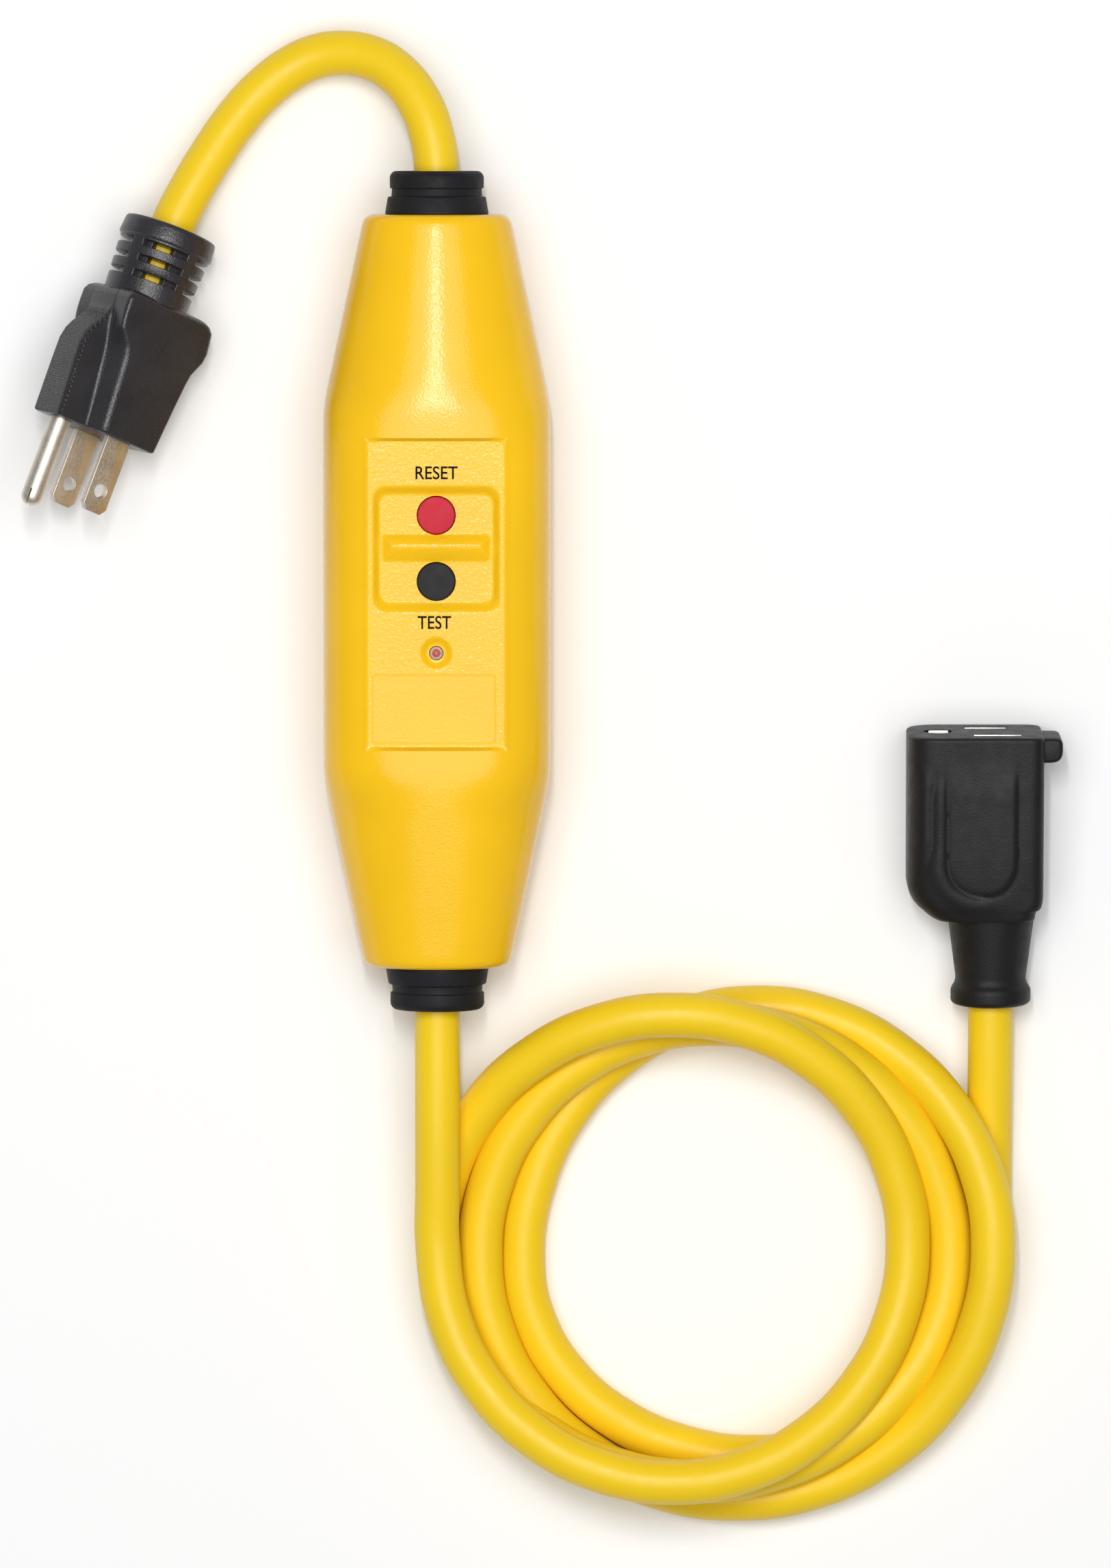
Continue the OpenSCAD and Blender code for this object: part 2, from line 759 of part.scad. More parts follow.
module plug_body() {
    color(jet)
        in_plug()
            difference() {
                plug_form();
                for (s = [-1, 1])
                    block([s * blade_spacing / 2 - blade_t / 2, -2 - blade_w / 2, -root_l],
                          [s * blade_spacing / 2 + blade_t / 2, -2 + blade_w / 2, cut]);
                translate([0, ground_offset - 2, -root_l])
                    cylinder(h = root_l + cut, d = pin_d - 2 * pin_neck);
                translate([0, 0, -plug_l]) cylinder(h = 36, d = cord_d + 0.2);
            }
}

// A ribbed sleeve with three rows of windows, open down to the cord
module plug_strain_relief() {
    color(jet)
        in_plug()
            difference() {
                translate([0, 0, -plug_l]) cylinder(h = relief_l, r1 = 10.75, r2 = 10.25);
                translate([0, 0, -plug_l - cut]) cylinder(h = relief_l + 2 * cut, d = cord_d + 0.2);
                for (k = [0:2])
                    translate([0, 0, -plug_l + slot_start + slot_pitch * k])
                        difference() {
                            cylinder(h = slot_h, r = 12);
                            for (a = [10, 100])
                                rotate([0, 0, a]) block([-13, -1.9, -cut], [13, 1.9, slot_h + cut]);
                        }
            }
}

module plug_blades() {
    color(nickel)
        in_plug()
            for (s = [-1, 1])
                difference() {
                    block([s * blade_spacing / 2 - blade_t / 2, -2 - blade_w / 2, -root_l],
                          [s * blade_spacing / 2 + blade_t / 2, -2 + blade_w / 2, blade_l]);
                    translate([0, -2, blade_l - 5]) rotate([0, 90, 0])
                        cylinder(h = 30, d = 3.1, center = true);
                    for (e = [-1, 1])
                        translate([0, -2 + e * blade_w / 2, blade_l]) rotate([45, 0, 0])
                            cube([30, 1.6, 1.6], center = true);
                }
}

module plug_ground_pin() {
    color(nickel)
        in_plug()
            translate([0, ground_offset - 2, 0]) {
                translate([0, 0, -root_l]) cylinder(h = root_l + pin_neck, d = pin_d - 2 * pin_neck);
                translate([0, 0, pin_neck]) cylinder(h = pin_l - pin_d / 2 - pin_neck, d = pin_d);
                translate([0, 0, pin_l - pin_d / 2]) sphere(d = pin_d);
            }
}

// ---- Connector: local +Z points out of the face, -X to the ground hole ----

module in_connector() {
    translate(connector_end) rotate([-90 + connector_tilt, 0, 0]) children();
}

module connector_slice(z, x0, x1, t, r) {
    translate([0, 0, z]) linear_extrude(height = slab) polygon(rounded_outline(x0, x1, -t / 2, t / 2, r));
}

module connector_form() {
    x1 = 11.4;
    x0 = x1 - connector_w;
    hull() {
        connector_slice(connector_l - slab, x0, x1, connector_t, 3);
        connector_slice(23, x0, x1, 20.5, 5);
        connector_slice(19.7, x0 + 2.4, x1 - 1.4, 18, 5.5);
    }
    block([x1 - 2.4, -6.5, connector_l - 6.1], [x1 + 4, 8.5, connector_l - 0.7]);
    cylinder(h = 4.6, r = 8.95);
    translate([0, 0, 4.6]) cylinder(h = 15.2, r1 = 8, r2 = 9.3);
}

module connector_body() {
    color(jet)
        in_connector()
            difference() {
                connector_form();
                translate([0, 0, -cut]) cylinder(h = 17.5 + cut, d = cord_d + 0.2);
                translate([-ground_offset, 0, connector_l - hole_depth])
                    cylinder(h = hole_depth + cut, r = ground_hole_r);
                translate([-ground_offset, 0, connector_l - hole_depth - contact_l])
                    cylinder(h = contact_l, r = 3.6);
                for (s = [-1, 1]) {
                    block([-4.3, s * blade_spacing / 2 - 1.15, connector_l - hole_depth],
                          [4.3, s * blade_spacing / 2 + 1.15, connector_l + cut]);
                    block([-5, s * blade_spacing / 2 - 2, connector_l - hole_depth - contact_l],
                          [5, s * blade_spacing / 2 + 2, connector_l - hole_depth]);
                }
            }
}

// Spring contacts: a sleeve for the ground pin and a pair of leaves for each blade
module connector_contacts() {
    z0 = connector_l - hole_depth - contact_l;
    color("#c98b3c")
        in_connector() {
            translate([-ground_offset, 0, z0])
                difference() {
                    cylinder(h = contact_l, r = 3.6);
                    translate([0, 0, -cut]) cylinder(h = contact_l + 2 * cut, r = ground_hole_r - 0.2);
                }
            for (s = [-1, 1])
                difference() {
                    block([-5, s * blade_spacing / 2 - 2, z0],
                          [5, s * blade_spacing / 2 + 2, z0 + contact_l]);
                    block([-6, s * blade_spacing / 2 - 0.9, z0 + 1],
                          [6, s * blade_spacing / 2 + 0.9, z0 + contact_l + cut]);
                }
        }
}

// ---- Every node ----

rear_cover();
front_cover();
cover_gasket();
label_plate();
cover_screws();
gland(1);  // input_gland
gland(-1);  // output_gland
cord_clamp(clamp_y);  // input_cord_clamp
cord_clamp(-clamp_y);  // output_cord_clamp
clamp_screws();
circuit_board();
board_screws();
transformer_housing();
transformer_core(transformer_y0 + 1);  // sense_transformer_core
transformer_core(transformer_y0 + 7);  // neutral_transformer_core
solenoid_frame();
solenoid_bobbin();
solenoid_coil();
solenoid_plunger();
plunger_spring();
switch_frame();
switch_cap();
contact_carriage();
latch_plate();
moving_contacts();
fixed_contacts(contact_y_in, tail_y_in);  // input_contacts
fixed_contacts(contact_y_out, tail_y_out);  // output_contacts
reset_button();
reset_stem();
reset_spring();
test_button();
test_spring();
button_seals();
test_contact_arm();
test_contact_posts();
indicator_led();
led_holder();
surge_varistor();
filter_capacitor();
control_chip();
test_resistor();
rectifier_diodes();
input_wire(-1, "#222222");  // line_in_wire
input_wire(1, "#e8e8e8");  // neutral_in_wire
ground_wire();
output_wire(-1, "#222222");  // line_out_wire
output_wire(1, "#e8e8e8");  // neutral_out_wire
input_cord();
output_cord_lead();
output_cord_coil();
output_cord_tail();
plug_body();
plug_strain_relief();
plug_blades();
plug_ground_pin();
connector_body();
connector_contacts();
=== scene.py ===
"""The looks of an inline ground-fault cord set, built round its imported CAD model.

Lengths are in millimetres in the frame of the CAD model. Vertices are scaled to metres when a mesh is made.
"""
import json
import math

import bmesh
import bpy
from mathutils import Matrix, Vector


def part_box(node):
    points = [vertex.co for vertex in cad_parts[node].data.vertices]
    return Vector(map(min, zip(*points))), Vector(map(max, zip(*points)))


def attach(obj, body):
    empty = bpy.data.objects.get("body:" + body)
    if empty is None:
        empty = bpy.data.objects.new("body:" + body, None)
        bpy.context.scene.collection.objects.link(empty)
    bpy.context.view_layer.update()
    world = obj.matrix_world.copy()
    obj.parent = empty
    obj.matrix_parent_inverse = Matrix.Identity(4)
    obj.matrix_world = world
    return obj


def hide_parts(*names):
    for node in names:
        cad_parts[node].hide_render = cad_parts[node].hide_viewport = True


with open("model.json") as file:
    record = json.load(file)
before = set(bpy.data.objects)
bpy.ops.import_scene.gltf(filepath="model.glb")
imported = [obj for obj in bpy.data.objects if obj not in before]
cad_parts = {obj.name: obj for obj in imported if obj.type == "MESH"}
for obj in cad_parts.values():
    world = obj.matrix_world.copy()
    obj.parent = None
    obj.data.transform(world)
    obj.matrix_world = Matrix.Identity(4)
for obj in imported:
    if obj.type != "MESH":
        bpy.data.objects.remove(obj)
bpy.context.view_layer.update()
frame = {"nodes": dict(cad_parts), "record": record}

MM = 0.001

# ---- Places taken from the frame ----


def corners(node):
    """Lowest and highest corner of a CAD node."""
    low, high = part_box(node)
    return low / MM, high / MM


HALF_W, HALF_L, TOP = corners("front_cover")[1]
SPLIT = corners("front_cover")[0].z
MID = TOP / 2
MOUNTS = {mount["name"]: mount for mount in frame["record"]["mounts"]}


def centre(node):
    low, high = corners(node)
    return (low + high) / 2


def mount_pair(first, second):
    """The places of two mounts, and the direction that the first one faces."""
    a, b = (Vector(MOUNTS[name]["pos_m"]) / MM for name in (first, second))
    return a, b, Vector(MOUNTS[first]["axis"]).normalized()


def pin_frame(first, second, depth):
    """A frame with +X from the second mount to the first and +Z along their axis, set back by depth."""
    a, b, out = mount_pair(first, second)
    across = (a - b).normalized()
    up = out.cross(across)
    turn = Matrix((across, up, out)).transposed().to_4x4()
    return Matrix.Translation((a + b) / 2 - out * depth) @ turn


# ---- Driving dimensions ----

CORD_D = 10
SHOULDER = 41           # from the housing's middle to the place where it starts to narrow
END_HALF_W, END_HALF_H = 16.1, 14
JOINT_GAP = 0.3         # between the two covers
PANEL_HALF_W, PANEL_HALF_L = 15.65, 34.5
PANEL_Z = 36.2
RECESS_Z = 34.9
RESET_Y = centre("reset_button").y
TEST_Y = centre("test_button").y
LAMP_Y = centre("indicator_led").y
BUTTON_R = 4.1
BUTTON_TOP = corners("reset_button")[1].z
BLADE_LENGTH, BLADE_WIDTH, BLADE_THICKNESS = 17, 6.35, 1.52
BLADE_SPACING = 12.7
GROUND_OFFSET = 11.9
PIN_D, PIN_LENGTH = 4.75, 20.6
PLUG_LENGTH, RELIEF_LENGTH = 48.6, 16.7
HATCH_PITCH = 0.55      # spacing of the fine lines on the end of the plug's ground lobe
CONNECTOR_LENGTH = 61.3

# ---- Camera: a long lens, a little from the plug end ----

VIEW_HEIGHT = 348.4
VIEW_CENTRE = Vector((26.3, -42.9, 20))
VIEW_PITCH = math.radians(3.6)
VIEW_DISTANCE = 2400


def make_camera():
    data = bpy.data.cameras.new("camera")
    data.sensor_width = 36
    data.lens = data.sensor_width * VIEW_DISTANCE / VIEW_HEIGHT
    camera = bpy.data.objects.new("camera", data)
    back = Vector((0, math.sin(VIEW_PITCH), math.cos(VIEW_PITCH)))
    camera.location = (VIEW_CENTRE + back * VIEW_DISTANCE) * MM
    camera.rotation_euler = (-VIEW_PITCH, 0, 0)
    bpy.context.scene.collection.objects.link(camera)
    bpy.context.scene.camera = camera


# ---- Mesh tools ----


def smooth(t):
    """Eases from 0 to 1."""
    t = min(max(t, 0), 1)
    return t * t * (3 - 2 * t)


def blend(a, b, t):
    return a + (b - a) * t


def along(stations, z):
    """Values interpolated at z from rows that start with their own z, in falling order."""
    for upper, lower in zip(stations, stations[1:]):
        if z >= lower[0]:
            t = min(max((upper[0] - z) / (upper[0] - lower[0]), 0), 1)
            return [blend(a, b, t) for a, b in zip(upper[1:], lower[1:])]
    return list(stations[-1][1:])


def steps(start, end, count):
    """Evenly spaced values from start to end."""
    return [start + (end - start) * i / count for i in range(count + 1)]


def link(name, mesh):
    piece = bpy.data.objects.new(name, mesh)
    bpy.context.scene.collection.objects.link(piece)
    return piece


def solid(name, points, faces, placing=None):
    """A mesh piece from points in millimetres."""
    mesh = bpy.data.meshes.new(name)
    placing = placing or Matrix.Identity(4)
    mesh.from_pydata([(placing @ Vector(p)) * MM for p in points], [], faces)
    piece = link(name, mesh)
    edit(piece, lambda bm: bmesh.ops.recalc_face_normals(bm, faces=bm.faces))
    mesh.shade_smooth()
    return piece


def grid_faces(rows, columns, closed):
    """Quads between equal rows of points; closed joins each row's last column to its first."""
    faces = []
    for i in range(rows - 1):
        for j in range(columns if closed else columns - 1):
            k = (j + 1) % columns
            faces.append((i * columns + j, i * columns + k, (i + 1) * columns + k, (i + 1) * columns + j))
    return faces


def loft(name, rings, placing=None):
    """A closed solid through equal rings of points, with a flat cap at both ends."""
    size = len(rings[0])
    points = [p for ring in rings for p in ring]
    faces = grid_faces(len(rings), size, True)
    faces.append(tuple(range(size)))
    faces.append(tuple(range(len(points) - size, len(points))))
    return solid(name, points, faces, placing)


def lathe(name, profile, placing=None, sides=96):
    """A solid turned about the local Z axis from a closed profile of (radius, height) points."""
    points = []
    for r, z in profile:
        turn = [2 * math.pi * i / sides for i in range(sides)]
        points += [(r * math.cos(a), r * math.sin(a), z) for a in turn]
    faces = grid_faces(len(profile), sides, True)
    if profile[0][0] > 0:
        last = (len(profile) - 1) * sides
        faces += [(last + i, last + (i + 1) % sides, (i + 1) % sides, i) for i in range(sides)]
    piece = solid(name, points, faces, placing)
    edit(piece, weld)
    return piece


def weld(bm):
    """Merges the points that lie on top of each other."""
    bmesh.ops.remove_doubles(bm, verts=bm.verts, dist=1e-7)
    bmesh.ops.recalc_face_normals(bm, faces=bm.faces)


def edit(piece, change):
    """Runs change on a piece's bmesh."""
    bm = bmesh.new()
    bm.from_mesh(piece.data)
    bm.normal_update()
    change(bm)
    bm.to_mesh(piece.data)
    bm.free()


def round_corners(outline, radius, count=4, closed=True):
    """A 2-D outline with each corner replaced by a short arc; radius may be one number or one a corner."""
    rounded = []
    size = len(outline)
    radii = radius if isinstance(radius, (list, tuple)) else [radius] * size
    for i, point in enumerate(outline):
        p = Vector(point)
        if radii[i] == 0 or (not closed and i in (0, size - 1)):
            rounded.append(tuple(p))
            continue
        before = Vector(outline[i - 1]) - p
        after = Vector(outline[(i + 1) % size]) - p
        reach = min(radii[i], before.length * 0.49, after.length * 0.49)
        a = p + before.normalized() * reach
        b = p + after.normalized() * reach
        for t in steps(0, 1, count):
            rounded.append(tuple(a * (1 - t) ** 2 + p * 2 * t * (1 - t) + b * t * t))
    return rounded


def apply_modifiers(piece):
    """Leaves a piece with the mesh that its modifiers make."""
    graph = bpy.context.evaluated_depsgraph_get()
    made = bpy.data.meshes.new_from_object(piece.evaluated_get(graph))
    piece.modifiers.clear()
    piece.data = made
    return piece


def cut(piece, *cutters):
    """Cuts each cutter out of a piece and deletes the cutters."""
    for cutter in cutters:
        modifier = piece.modifiers.new("cut", "BOOLEAN")
        modifier.operation = "DIFFERENCE"
        modifier.object = cutter
    apply_modifiers(piece)
    for cutter in cutters:
        bpy.data.objects.remove(cutter)
    return piece


def join(first, *others):
    """Adds the others' meshes to the first piece."""
    bm = bmesh.new()
    for piece in (first, *others):
        bm.from_mesh(piece.data)
    bm.to_mesh(first.data)
    bm.free()
    for piece in others:
        bpy.data.objects.remove(piece)
    return first


def bevel(piece, width, segments=3, angle=35):
    """Rounds a piece's sharp edges."""
    modifier = piece.modifiers.new("bevel", "BEVEL")
    modifier.width = width * MM
    modifier.segments = segments
    modifier.limit_method = "ANGLE"
    modifier.angle_limit = math.radians(angle)
    apply_modifiers(piece)
    piece.data.shade_smooth()
    return piece


def sharpen(piece, angle=38):
    """Shades smooth, with a hard edge wherever two faces meet at more than the angle."""
    def harden(bm):
        for edge in bm.edges:
            edge.smooth = len(edge.link_faces) < 2 or edge.calc_face_angle(0) < math.radians(angle)

    piece.data.shade_smooth()
    edit(piece, harden)
    return piece


def block(name, low, high, placing=None):
    """A box between two corners."""
    xs, ys, zs = zip(low, high)
    points = [(x, y, z) for z in zs for y in ys for x in xs]
    faces = [(0, 2, 3, 1), (4, 5, 7, 6), (0, 1, 5, 4), (2, 6, 7, 3), (0, 4, 6, 2), (1, 3, 7, 5)]
    return solid(name, points, faces, placing)


def upright(name, x, y, z0, z1, radius, sides=64):
    """A plain cylinder along Z, used as a cutter."""
    return lathe(name, [(0, z0), (radius, z0), (radius, z1), (0, z1)], Matrix.Translation((x, y, 0)), sides)


def place(piece, body, look, *nodes, slot=None):
    """Gives a piece its body, its look and the CAD nodes it stands for; the slot argument is not used."""
    piece.data.materials.clear()
    piece.data.materials.append(LOOKS[look])
    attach(piece, body)
    if nodes:
        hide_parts(*nodes)
    return piece


# ---- Materials ----


class Shader:
    """One procedural material and its node tree."""

    def __init__(self, name):
        self.material = bpy.data.materials.new(name)
        self.material.use_nodes = True
        self.tree = self.material.node_tree
        self.main = self.tree.nodes["Principled BSDF"]
        self.place = self.add("ShaderNodeTexCoord").outputs["Object"]

    def add(self, kind, **inputs):
        node = self.tree.nodes.new(kind)
        for name, value in inputs.items():
            node.inputs[name.replace("_", " ")].default_value = value
        return node

    def link(self, output, target):
        self.tree.links.new(output, target)

    def noise(self, size, detail=3, stretch=None):
        """Noise whose features are about size millimetres across, drawn out along the stretch."""
        node = self.add("ShaderNodeTexNoise", Scale=1 / (size * MM), Detail=detail)
        place = self.place
        if stretch:
            mapping = self.add("ShaderNodeMapping", Scale=stretch)
            self.link(place, mapping.inputs["Vector"])
            place = mapping.outputs["Vector"]
        self.link(place, node.inputs["Vector"])
        return node.outputs["Fac"]

    def range(self, value, low, high, start=0.3, end=0.7):
        """Maps start to low and end to high; noise stays mostly between 0.3 and 0.7."""
        node = self.add("ShaderNodeMapRange")
        for name, number in zip(("From Min", "From Max", "To Min", "To Max"), (start, end, low, high)):
            node.inputs[name].default_value = number
        self.link(value, node.inputs["Value"])
        return node.outputs["Result"]

    def attribute(self, name):
        node = self.tree.nodes.new("ShaderNodeAttribute")
        node.attribute_name = name
        return node.outputs["Fac"]

    def wave(self, value, pitch):
        """A wave between -1 and 1 that repeats every pitch."""
        node = self.tree.nodes.new("ShaderNodeMath")
        node.operation = "SINE"
        self.link(self.times(value, 2 * math.pi / pitch), node.inputs[0])
        return node.outputs[0]

    def mottled(self, colour, size, detail, low, high):
        """A colour that drifts between a low and a high share of itself over patches of a size."""
        node = self.tree.nodes.new("ShaderNodeMix")
        node.data_type = "RGBA"
        self.link(self.range(self.noise(size, detail), 0, 1), node.inputs[0])
        for target, share in ((node.inputs[6], low), (node.inputs[7], high)):
            target.default_value = (*(min(c * share, 1) for c in colour), 1)
        return node.outputs[2]

    def times(self, first, second):
        node = self.tree.nodes.new("ShaderNodeMath")
        node.operation = "MULTIPLY"
        self.link(first, node.inputs[0])
        if isinstance(second, bpy.types.NodeSocket):
            self.link(second, node.inputs[1])
        else:
            node.inputs[1].default_value = second
        return node.outputs[0]

    def bump(self, height, depth, below=None):
        """Adds a bump of a depth in millimetres, on top of the bump below it."""
        node = self.add("ShaderNodeBump", Strength=1, Distance=depth * MM)
        self.link(height, node.inputs["Height"])
        if below:
            self.link(below, node.inputs["Normal"])
        return node.outputs["Normal"]

    def finish(self, **sockets):
        """Sets the shader's own sockets: outputs are linked and numbers are set."""
        for name, value in sockets.items():
            target = self.main.inputs[name.replace("_", " ")]
            if isinstance(value, bpy.types.NodeSocket):
                self.link(value, target)
            else:
                target.default_value = value
        return self.material


def moulded(name, colour, roughness, grain, depth, mottle, specular):
    """Moulded plastic or rubber: a fine grain, slight mottling and an uneven gloss."""
    shader = Shader(name)
    shade = shader.mottled(colour, 14, 4, 1 - mottle, 1 + mottle)
    gloss = shader.range(shader.noise(3, 3), roughness * 0.9, roughness * 1.12)
    normal = shader.bump(shader.noise(grain, 3), depth)
    return shader.finish(Base_Color=shade, Roughness=gloss, Normal=normal, Specular_IOR_Level=specular)


def housing_material():
    """Amber ABS: a fine satin grain, and a coarser orange-peel grain on the control panel."""
    shader = Shader("housing_yellow")
    amber = shader.mottled((0.96, 0.56, 0.012), 22, 5, 0.965, 1.03)
    panel = shader.attribute("panel")
    peel = shader.times(shader.noise(0.85, 2), panel)
    fine = shader.bump(shader.noise(0.55, 2), 0.045)
    normal = shader.bump(peel, 0.12, below=fine)
    gloss = shader.range(shader.noise(1.6, 3), 0.15, 0.21)
    return shader.finish(Base_Color=amber, Roughness=gloss, Normal=normal, Specular_IOR_Level=0.27)


def cord_material():
    """Lemon PVC with a faint swell in its surface and small scuffs in its gloss."""
    shader = Shader("cord_yellow")
    lemon = shader.mottled((0.92, 0.625, 0.014), 30, 4, 0.97, 1.025)
    gloss = shader.range(shader.noise(2.2, 4), 0.34, 0.44)
    swell = shader.bump(shader.noise(9, 2), 0.06)
    normal = shader.bump(shader.noise(0.7, 3), 0.012, below=swell)
    return shader.finish(Base_Color=lemon, Roughness=gloss, Normal=normal, Specular_IOR_Level=0.32)


def metal(name, colour, roughness, brush=(1, 1, 1), depth=0.01):
    """Plated or stamped metal with a brushed finish and light tarnish."""
    shader = Shader(name)
    tarnished = shader.mottled(colour, 5, 5, 0.86, 1.06)
    streaks = shader.noise(0.5, 4, brush)
    gloss = shader.range(streaks, roughness * 0.8, roughness * 1.25)
    normal = shader.bump(streaks, depth)
    return shader.finish(Base_Color=tarnished, Metallic=1.0, Roughness=gloss, Normal=normal)


def plug_material():
    """The plug's black plastic, with a fine lengthwise hatch where the attribute says so."""
    shader = Shader("plug_black")
    lines = shader.wave(shader.attribute("across"), HATCH_PITCH)
    dashes = shader.wave(shader.attribute("lengthwise"), 2 * HATCH_PITCH)
    weave = shader.times(shader.times(lines, dashes), shader.attribute("hatch"))
    black = shader.mottled((0.027, 0.025, 0.029), 9, 4, 0.85, 1.2)
    sparkle = shader.bump(shader.noise(0.4, 2), 0.1)
    normal = shader.bump(weave, 0.2, below=sparkle)
    gloss = shader.range(shader.noise(0.9, 3), 0.24, 0.36)
    return shader.finish(Base_Color=black, Roughness=gloss, Normal=normal)


def lens_material():
    shader = Shader("lamp_lens")
    haze = shader.range(shader.noise(0.8, 3), 0.04, 0.1)
    return shader.finish(Base_Color=(1, 0.95, 0.93, 1), Roughness=haze, Transmission_Weight=0.92, IOR=1.3)


# Colour, roughness, size and depth of the grain in millimetres, mottling, and specular level
MOULDED = {
    "black_rubber": ((0.012, 0.012, 0.014), 0.6, 0.5, 0.05, 0.15, 0.2),
    "connector_black": ((0.010, 0.0095, 0.010), 0.5, 0.42, 0.07, 0.15, 0.26),
    "reset_red": ((0.62, 0.022, 0.045), 0.5, 0.4, 0.02, 0.05, 0.16),
    "button_black": ((0.03, 0.029, 0.03), 0.55, 0.4, 0.03, 0.15, 0.12),
    "grey_plastic": ((0.6, 0.58, 0.52), 0.5, 0.45, 0.03, 0.05, 0.5),
    "blue_plastic": ((0.05, 0.12, 0.26), 0.5, 0.45, 0.03, 0.05, 0.5),
    "circuit_green": ((0.03, 0.15, 0.05), 0.35, 1.2, 0.02, 0.05, 0.5),
    "ferrite": ((0.13, 0.115, 0.1), 0.6, 0.5, 0.06, 0.12, 0.5),
    "varistor_orange": ((0.66, 0.24, 0.04), 0.4, 0.8, 0.04, 0.05, 0.5),
    "component_tan": ((0.62, 0.42, 0.12), 0.45, 0.8, 0.03, 0.05, 0.5),
    "wire_black": ((0.02, 0.02, 0.02), 0.36, 1.0, 0.02, 0.05, 0.5),
    "wire_white": ((0.75, 0.75, 0.73), 0.36, 1.0, 0.02, 0.05, 0.5),
    "wire_green": ((0.04, 0.28, 0.08), 0.36, 1.0, 0.02, 0.05, 0.5),
    "lamp_red": ((0.75, 0.03, 0.03), 0.3, 0.4, 0.01, 0.05, 0.5),
    "lamp_cup": ((0.88, 0.62, 0.55), 0.4, 0.4, 0.01, 0.05, 0.5),
    "print_black": ((0.008, 0.008, 0.008), 0.7, 0.3, 0.01, 0.05, 0.05),
}
# Colour, roughness, and for some the stretch of the brushing and its depth
METALS = {
    "nickel": ((0.74, 0.68, 0.60), 0.5, (1, 1, 1), 0.006),
    "steel": ((0.58, 0.58, 0.6), 0.34),
    "leaf": ((0.9, 0.88, 0.84), 0.42),
    "brass": ((0.72, 0.46, 0.16), 0.32),
    "copper_winding": ((0.62, 0.24, 0.09), 0.38, (0.2, 6, 0.2), 0.1),
}


def make_looks():
    """Every material, by its name."""
    looks = {name: moulded(name, *values) for name, values in MOULDED.items()}
    looks.update({name: metal(name, *values) for name, values in METALS.items()})
    looks["housing_yellow"] = housing_material()
    looks["cord_yellow"] = cord_material()
    looks["plug_black"] = plug_material()
    looks["lamp_clear"] = lens_material()
    return looks


LOOKS = make_looks()


def dress_cad_nodes():
    """Each CAD node that stays gets the material of its slot in the record."""
    for subpart in frame["record"]["subparts"]:
        node = frame["nodes"][subpart["node"]]
        node.data.materials.clear()
        node.data.materials.append(LOOKS[subpart["material_slot"]])


# ---- Cords ----

INPUT_ROUTE = [
    (0, 70, 19), (0, 84, 19), (0, 93, 19), (-1.1, 100.9, 18.4), (-3.8, 108.2, 16.6),
    (-8.4, 114.3, 14), (-14.3, 118, 11.2), (-21.1, 119.2, 9), (-27, 118.4, 7.6),
    (-32.6, 115.8, 7), (-38.6, 111.2, 7.1), (-44.3, 105, 8.1), (-50.4, 96.2, 9.8),
    (-54.9, 88.6, 11.3), (-58.2, 82.1, 12.4), (-61.4, 73.7, 13.7), (-64.5, 65.2, 15)]
LEAD_ROUTE = [(0, -70, 19), (0, -84, 19), (0, -93, 19), (0, -106, 18.7), (0, -118, 18.1), (0, -132, 16.8)]
TAIL_ROUTE = [(123.5, -135, 5), (123.5, -124, 5.2), (123.5, -112, 6.8), (123.5, -102, 8.2),
              (123.5, -92.7, 9.05), (123.5, -76, 10.2)]
# The coil's leftmost, lowest, rightmost and highest points, turn after turn
COIL_KEYS = [
    (0, -146.5, 15), (52.5, -198.5, 24), (105, -146.5, 12.5), (52.5, -94, 24.7),
    (0, -146.5, 5), (57, -199.5, 14), (114.5, -149, 8.5), (61, -96.8, 14.8),
    (9.5, -149, 8.2), (67, -204.6, 5.1), (124, -146.5, 15.5), (71.4, -94, 5.1),
    (19, -150.5, 5.1), (71.4, -195.2, 5.1), (123.5, -146.5, 5.1)]
QUARTER_STEPS = 5


def coil_route():
    """Quarter turns between the keys: each is a quarter of an ellipse with an eased height."""
    route = []
    for index, (a, b) in enumerate(zip(COIL_KEYS, COIL_KEYS[1:])):
        side_first = index % 2 == 0
        for step in range(QUARTER_STEPS):
            t = step / QUARTER_STEPS
            c, s = math.cos(t * math.pi / 2), math.sin(t * math.pi / 2)
            if side_first:
                x, y = blend(b[0], a[0], c), blend(a[1], b[1], s)
            else:
                x, y = blend(a[0], b[0], s), blend(b[1], a[1], c)
            route.append((x, y, blend(a[2], b[2], smooth(t))))
    return [*route, COIL_KEYS[-1]]


def make_cord(name, route, nodes):
    """A round cord whose centreline runs smoothly through the route's points."""
    curve = bpy.data.curves.new(name, "CURVE")
    curve.dimensions = "3D"
    curve.resolution_u = 10
    curve.bevel_depth = CORD_D / 2 * MM
    curve.bevel_resolution = 9
    curve.use_fill_caps = True
    spline = curve.splines.new("BEZIER")
    spline.bezier_points.add(len(route) - 1)
    for point, target in zip(spline.bezier_points, route):
        point.co = Vector(target) * MM
        point.handle_left_type = point.handle_right_type = "AUTO"
    return place(link(name, curve), "root", "cord_yellow", *nodes)


def make_cords():
    nodes = frame["nodes"]
    input_cord = make_cord("input_cord_flex", INPUT_ROUTE, ["input_cord"])
    output_cord = make_cord("output_cord_flex", LEAD_ROUTE + coil_route() + TAIL_ROUTE,
                            ["output_cord_lead", "output_cord_coil", "output_cord_tail"])
    plug = [make_plug_body(), make_plug_relief(), *make_blades(), make_ground_pin()]
    connector = [make_connector(), *make_leaves(), nodes["connector_contacts"]]


# ---- Housing ----

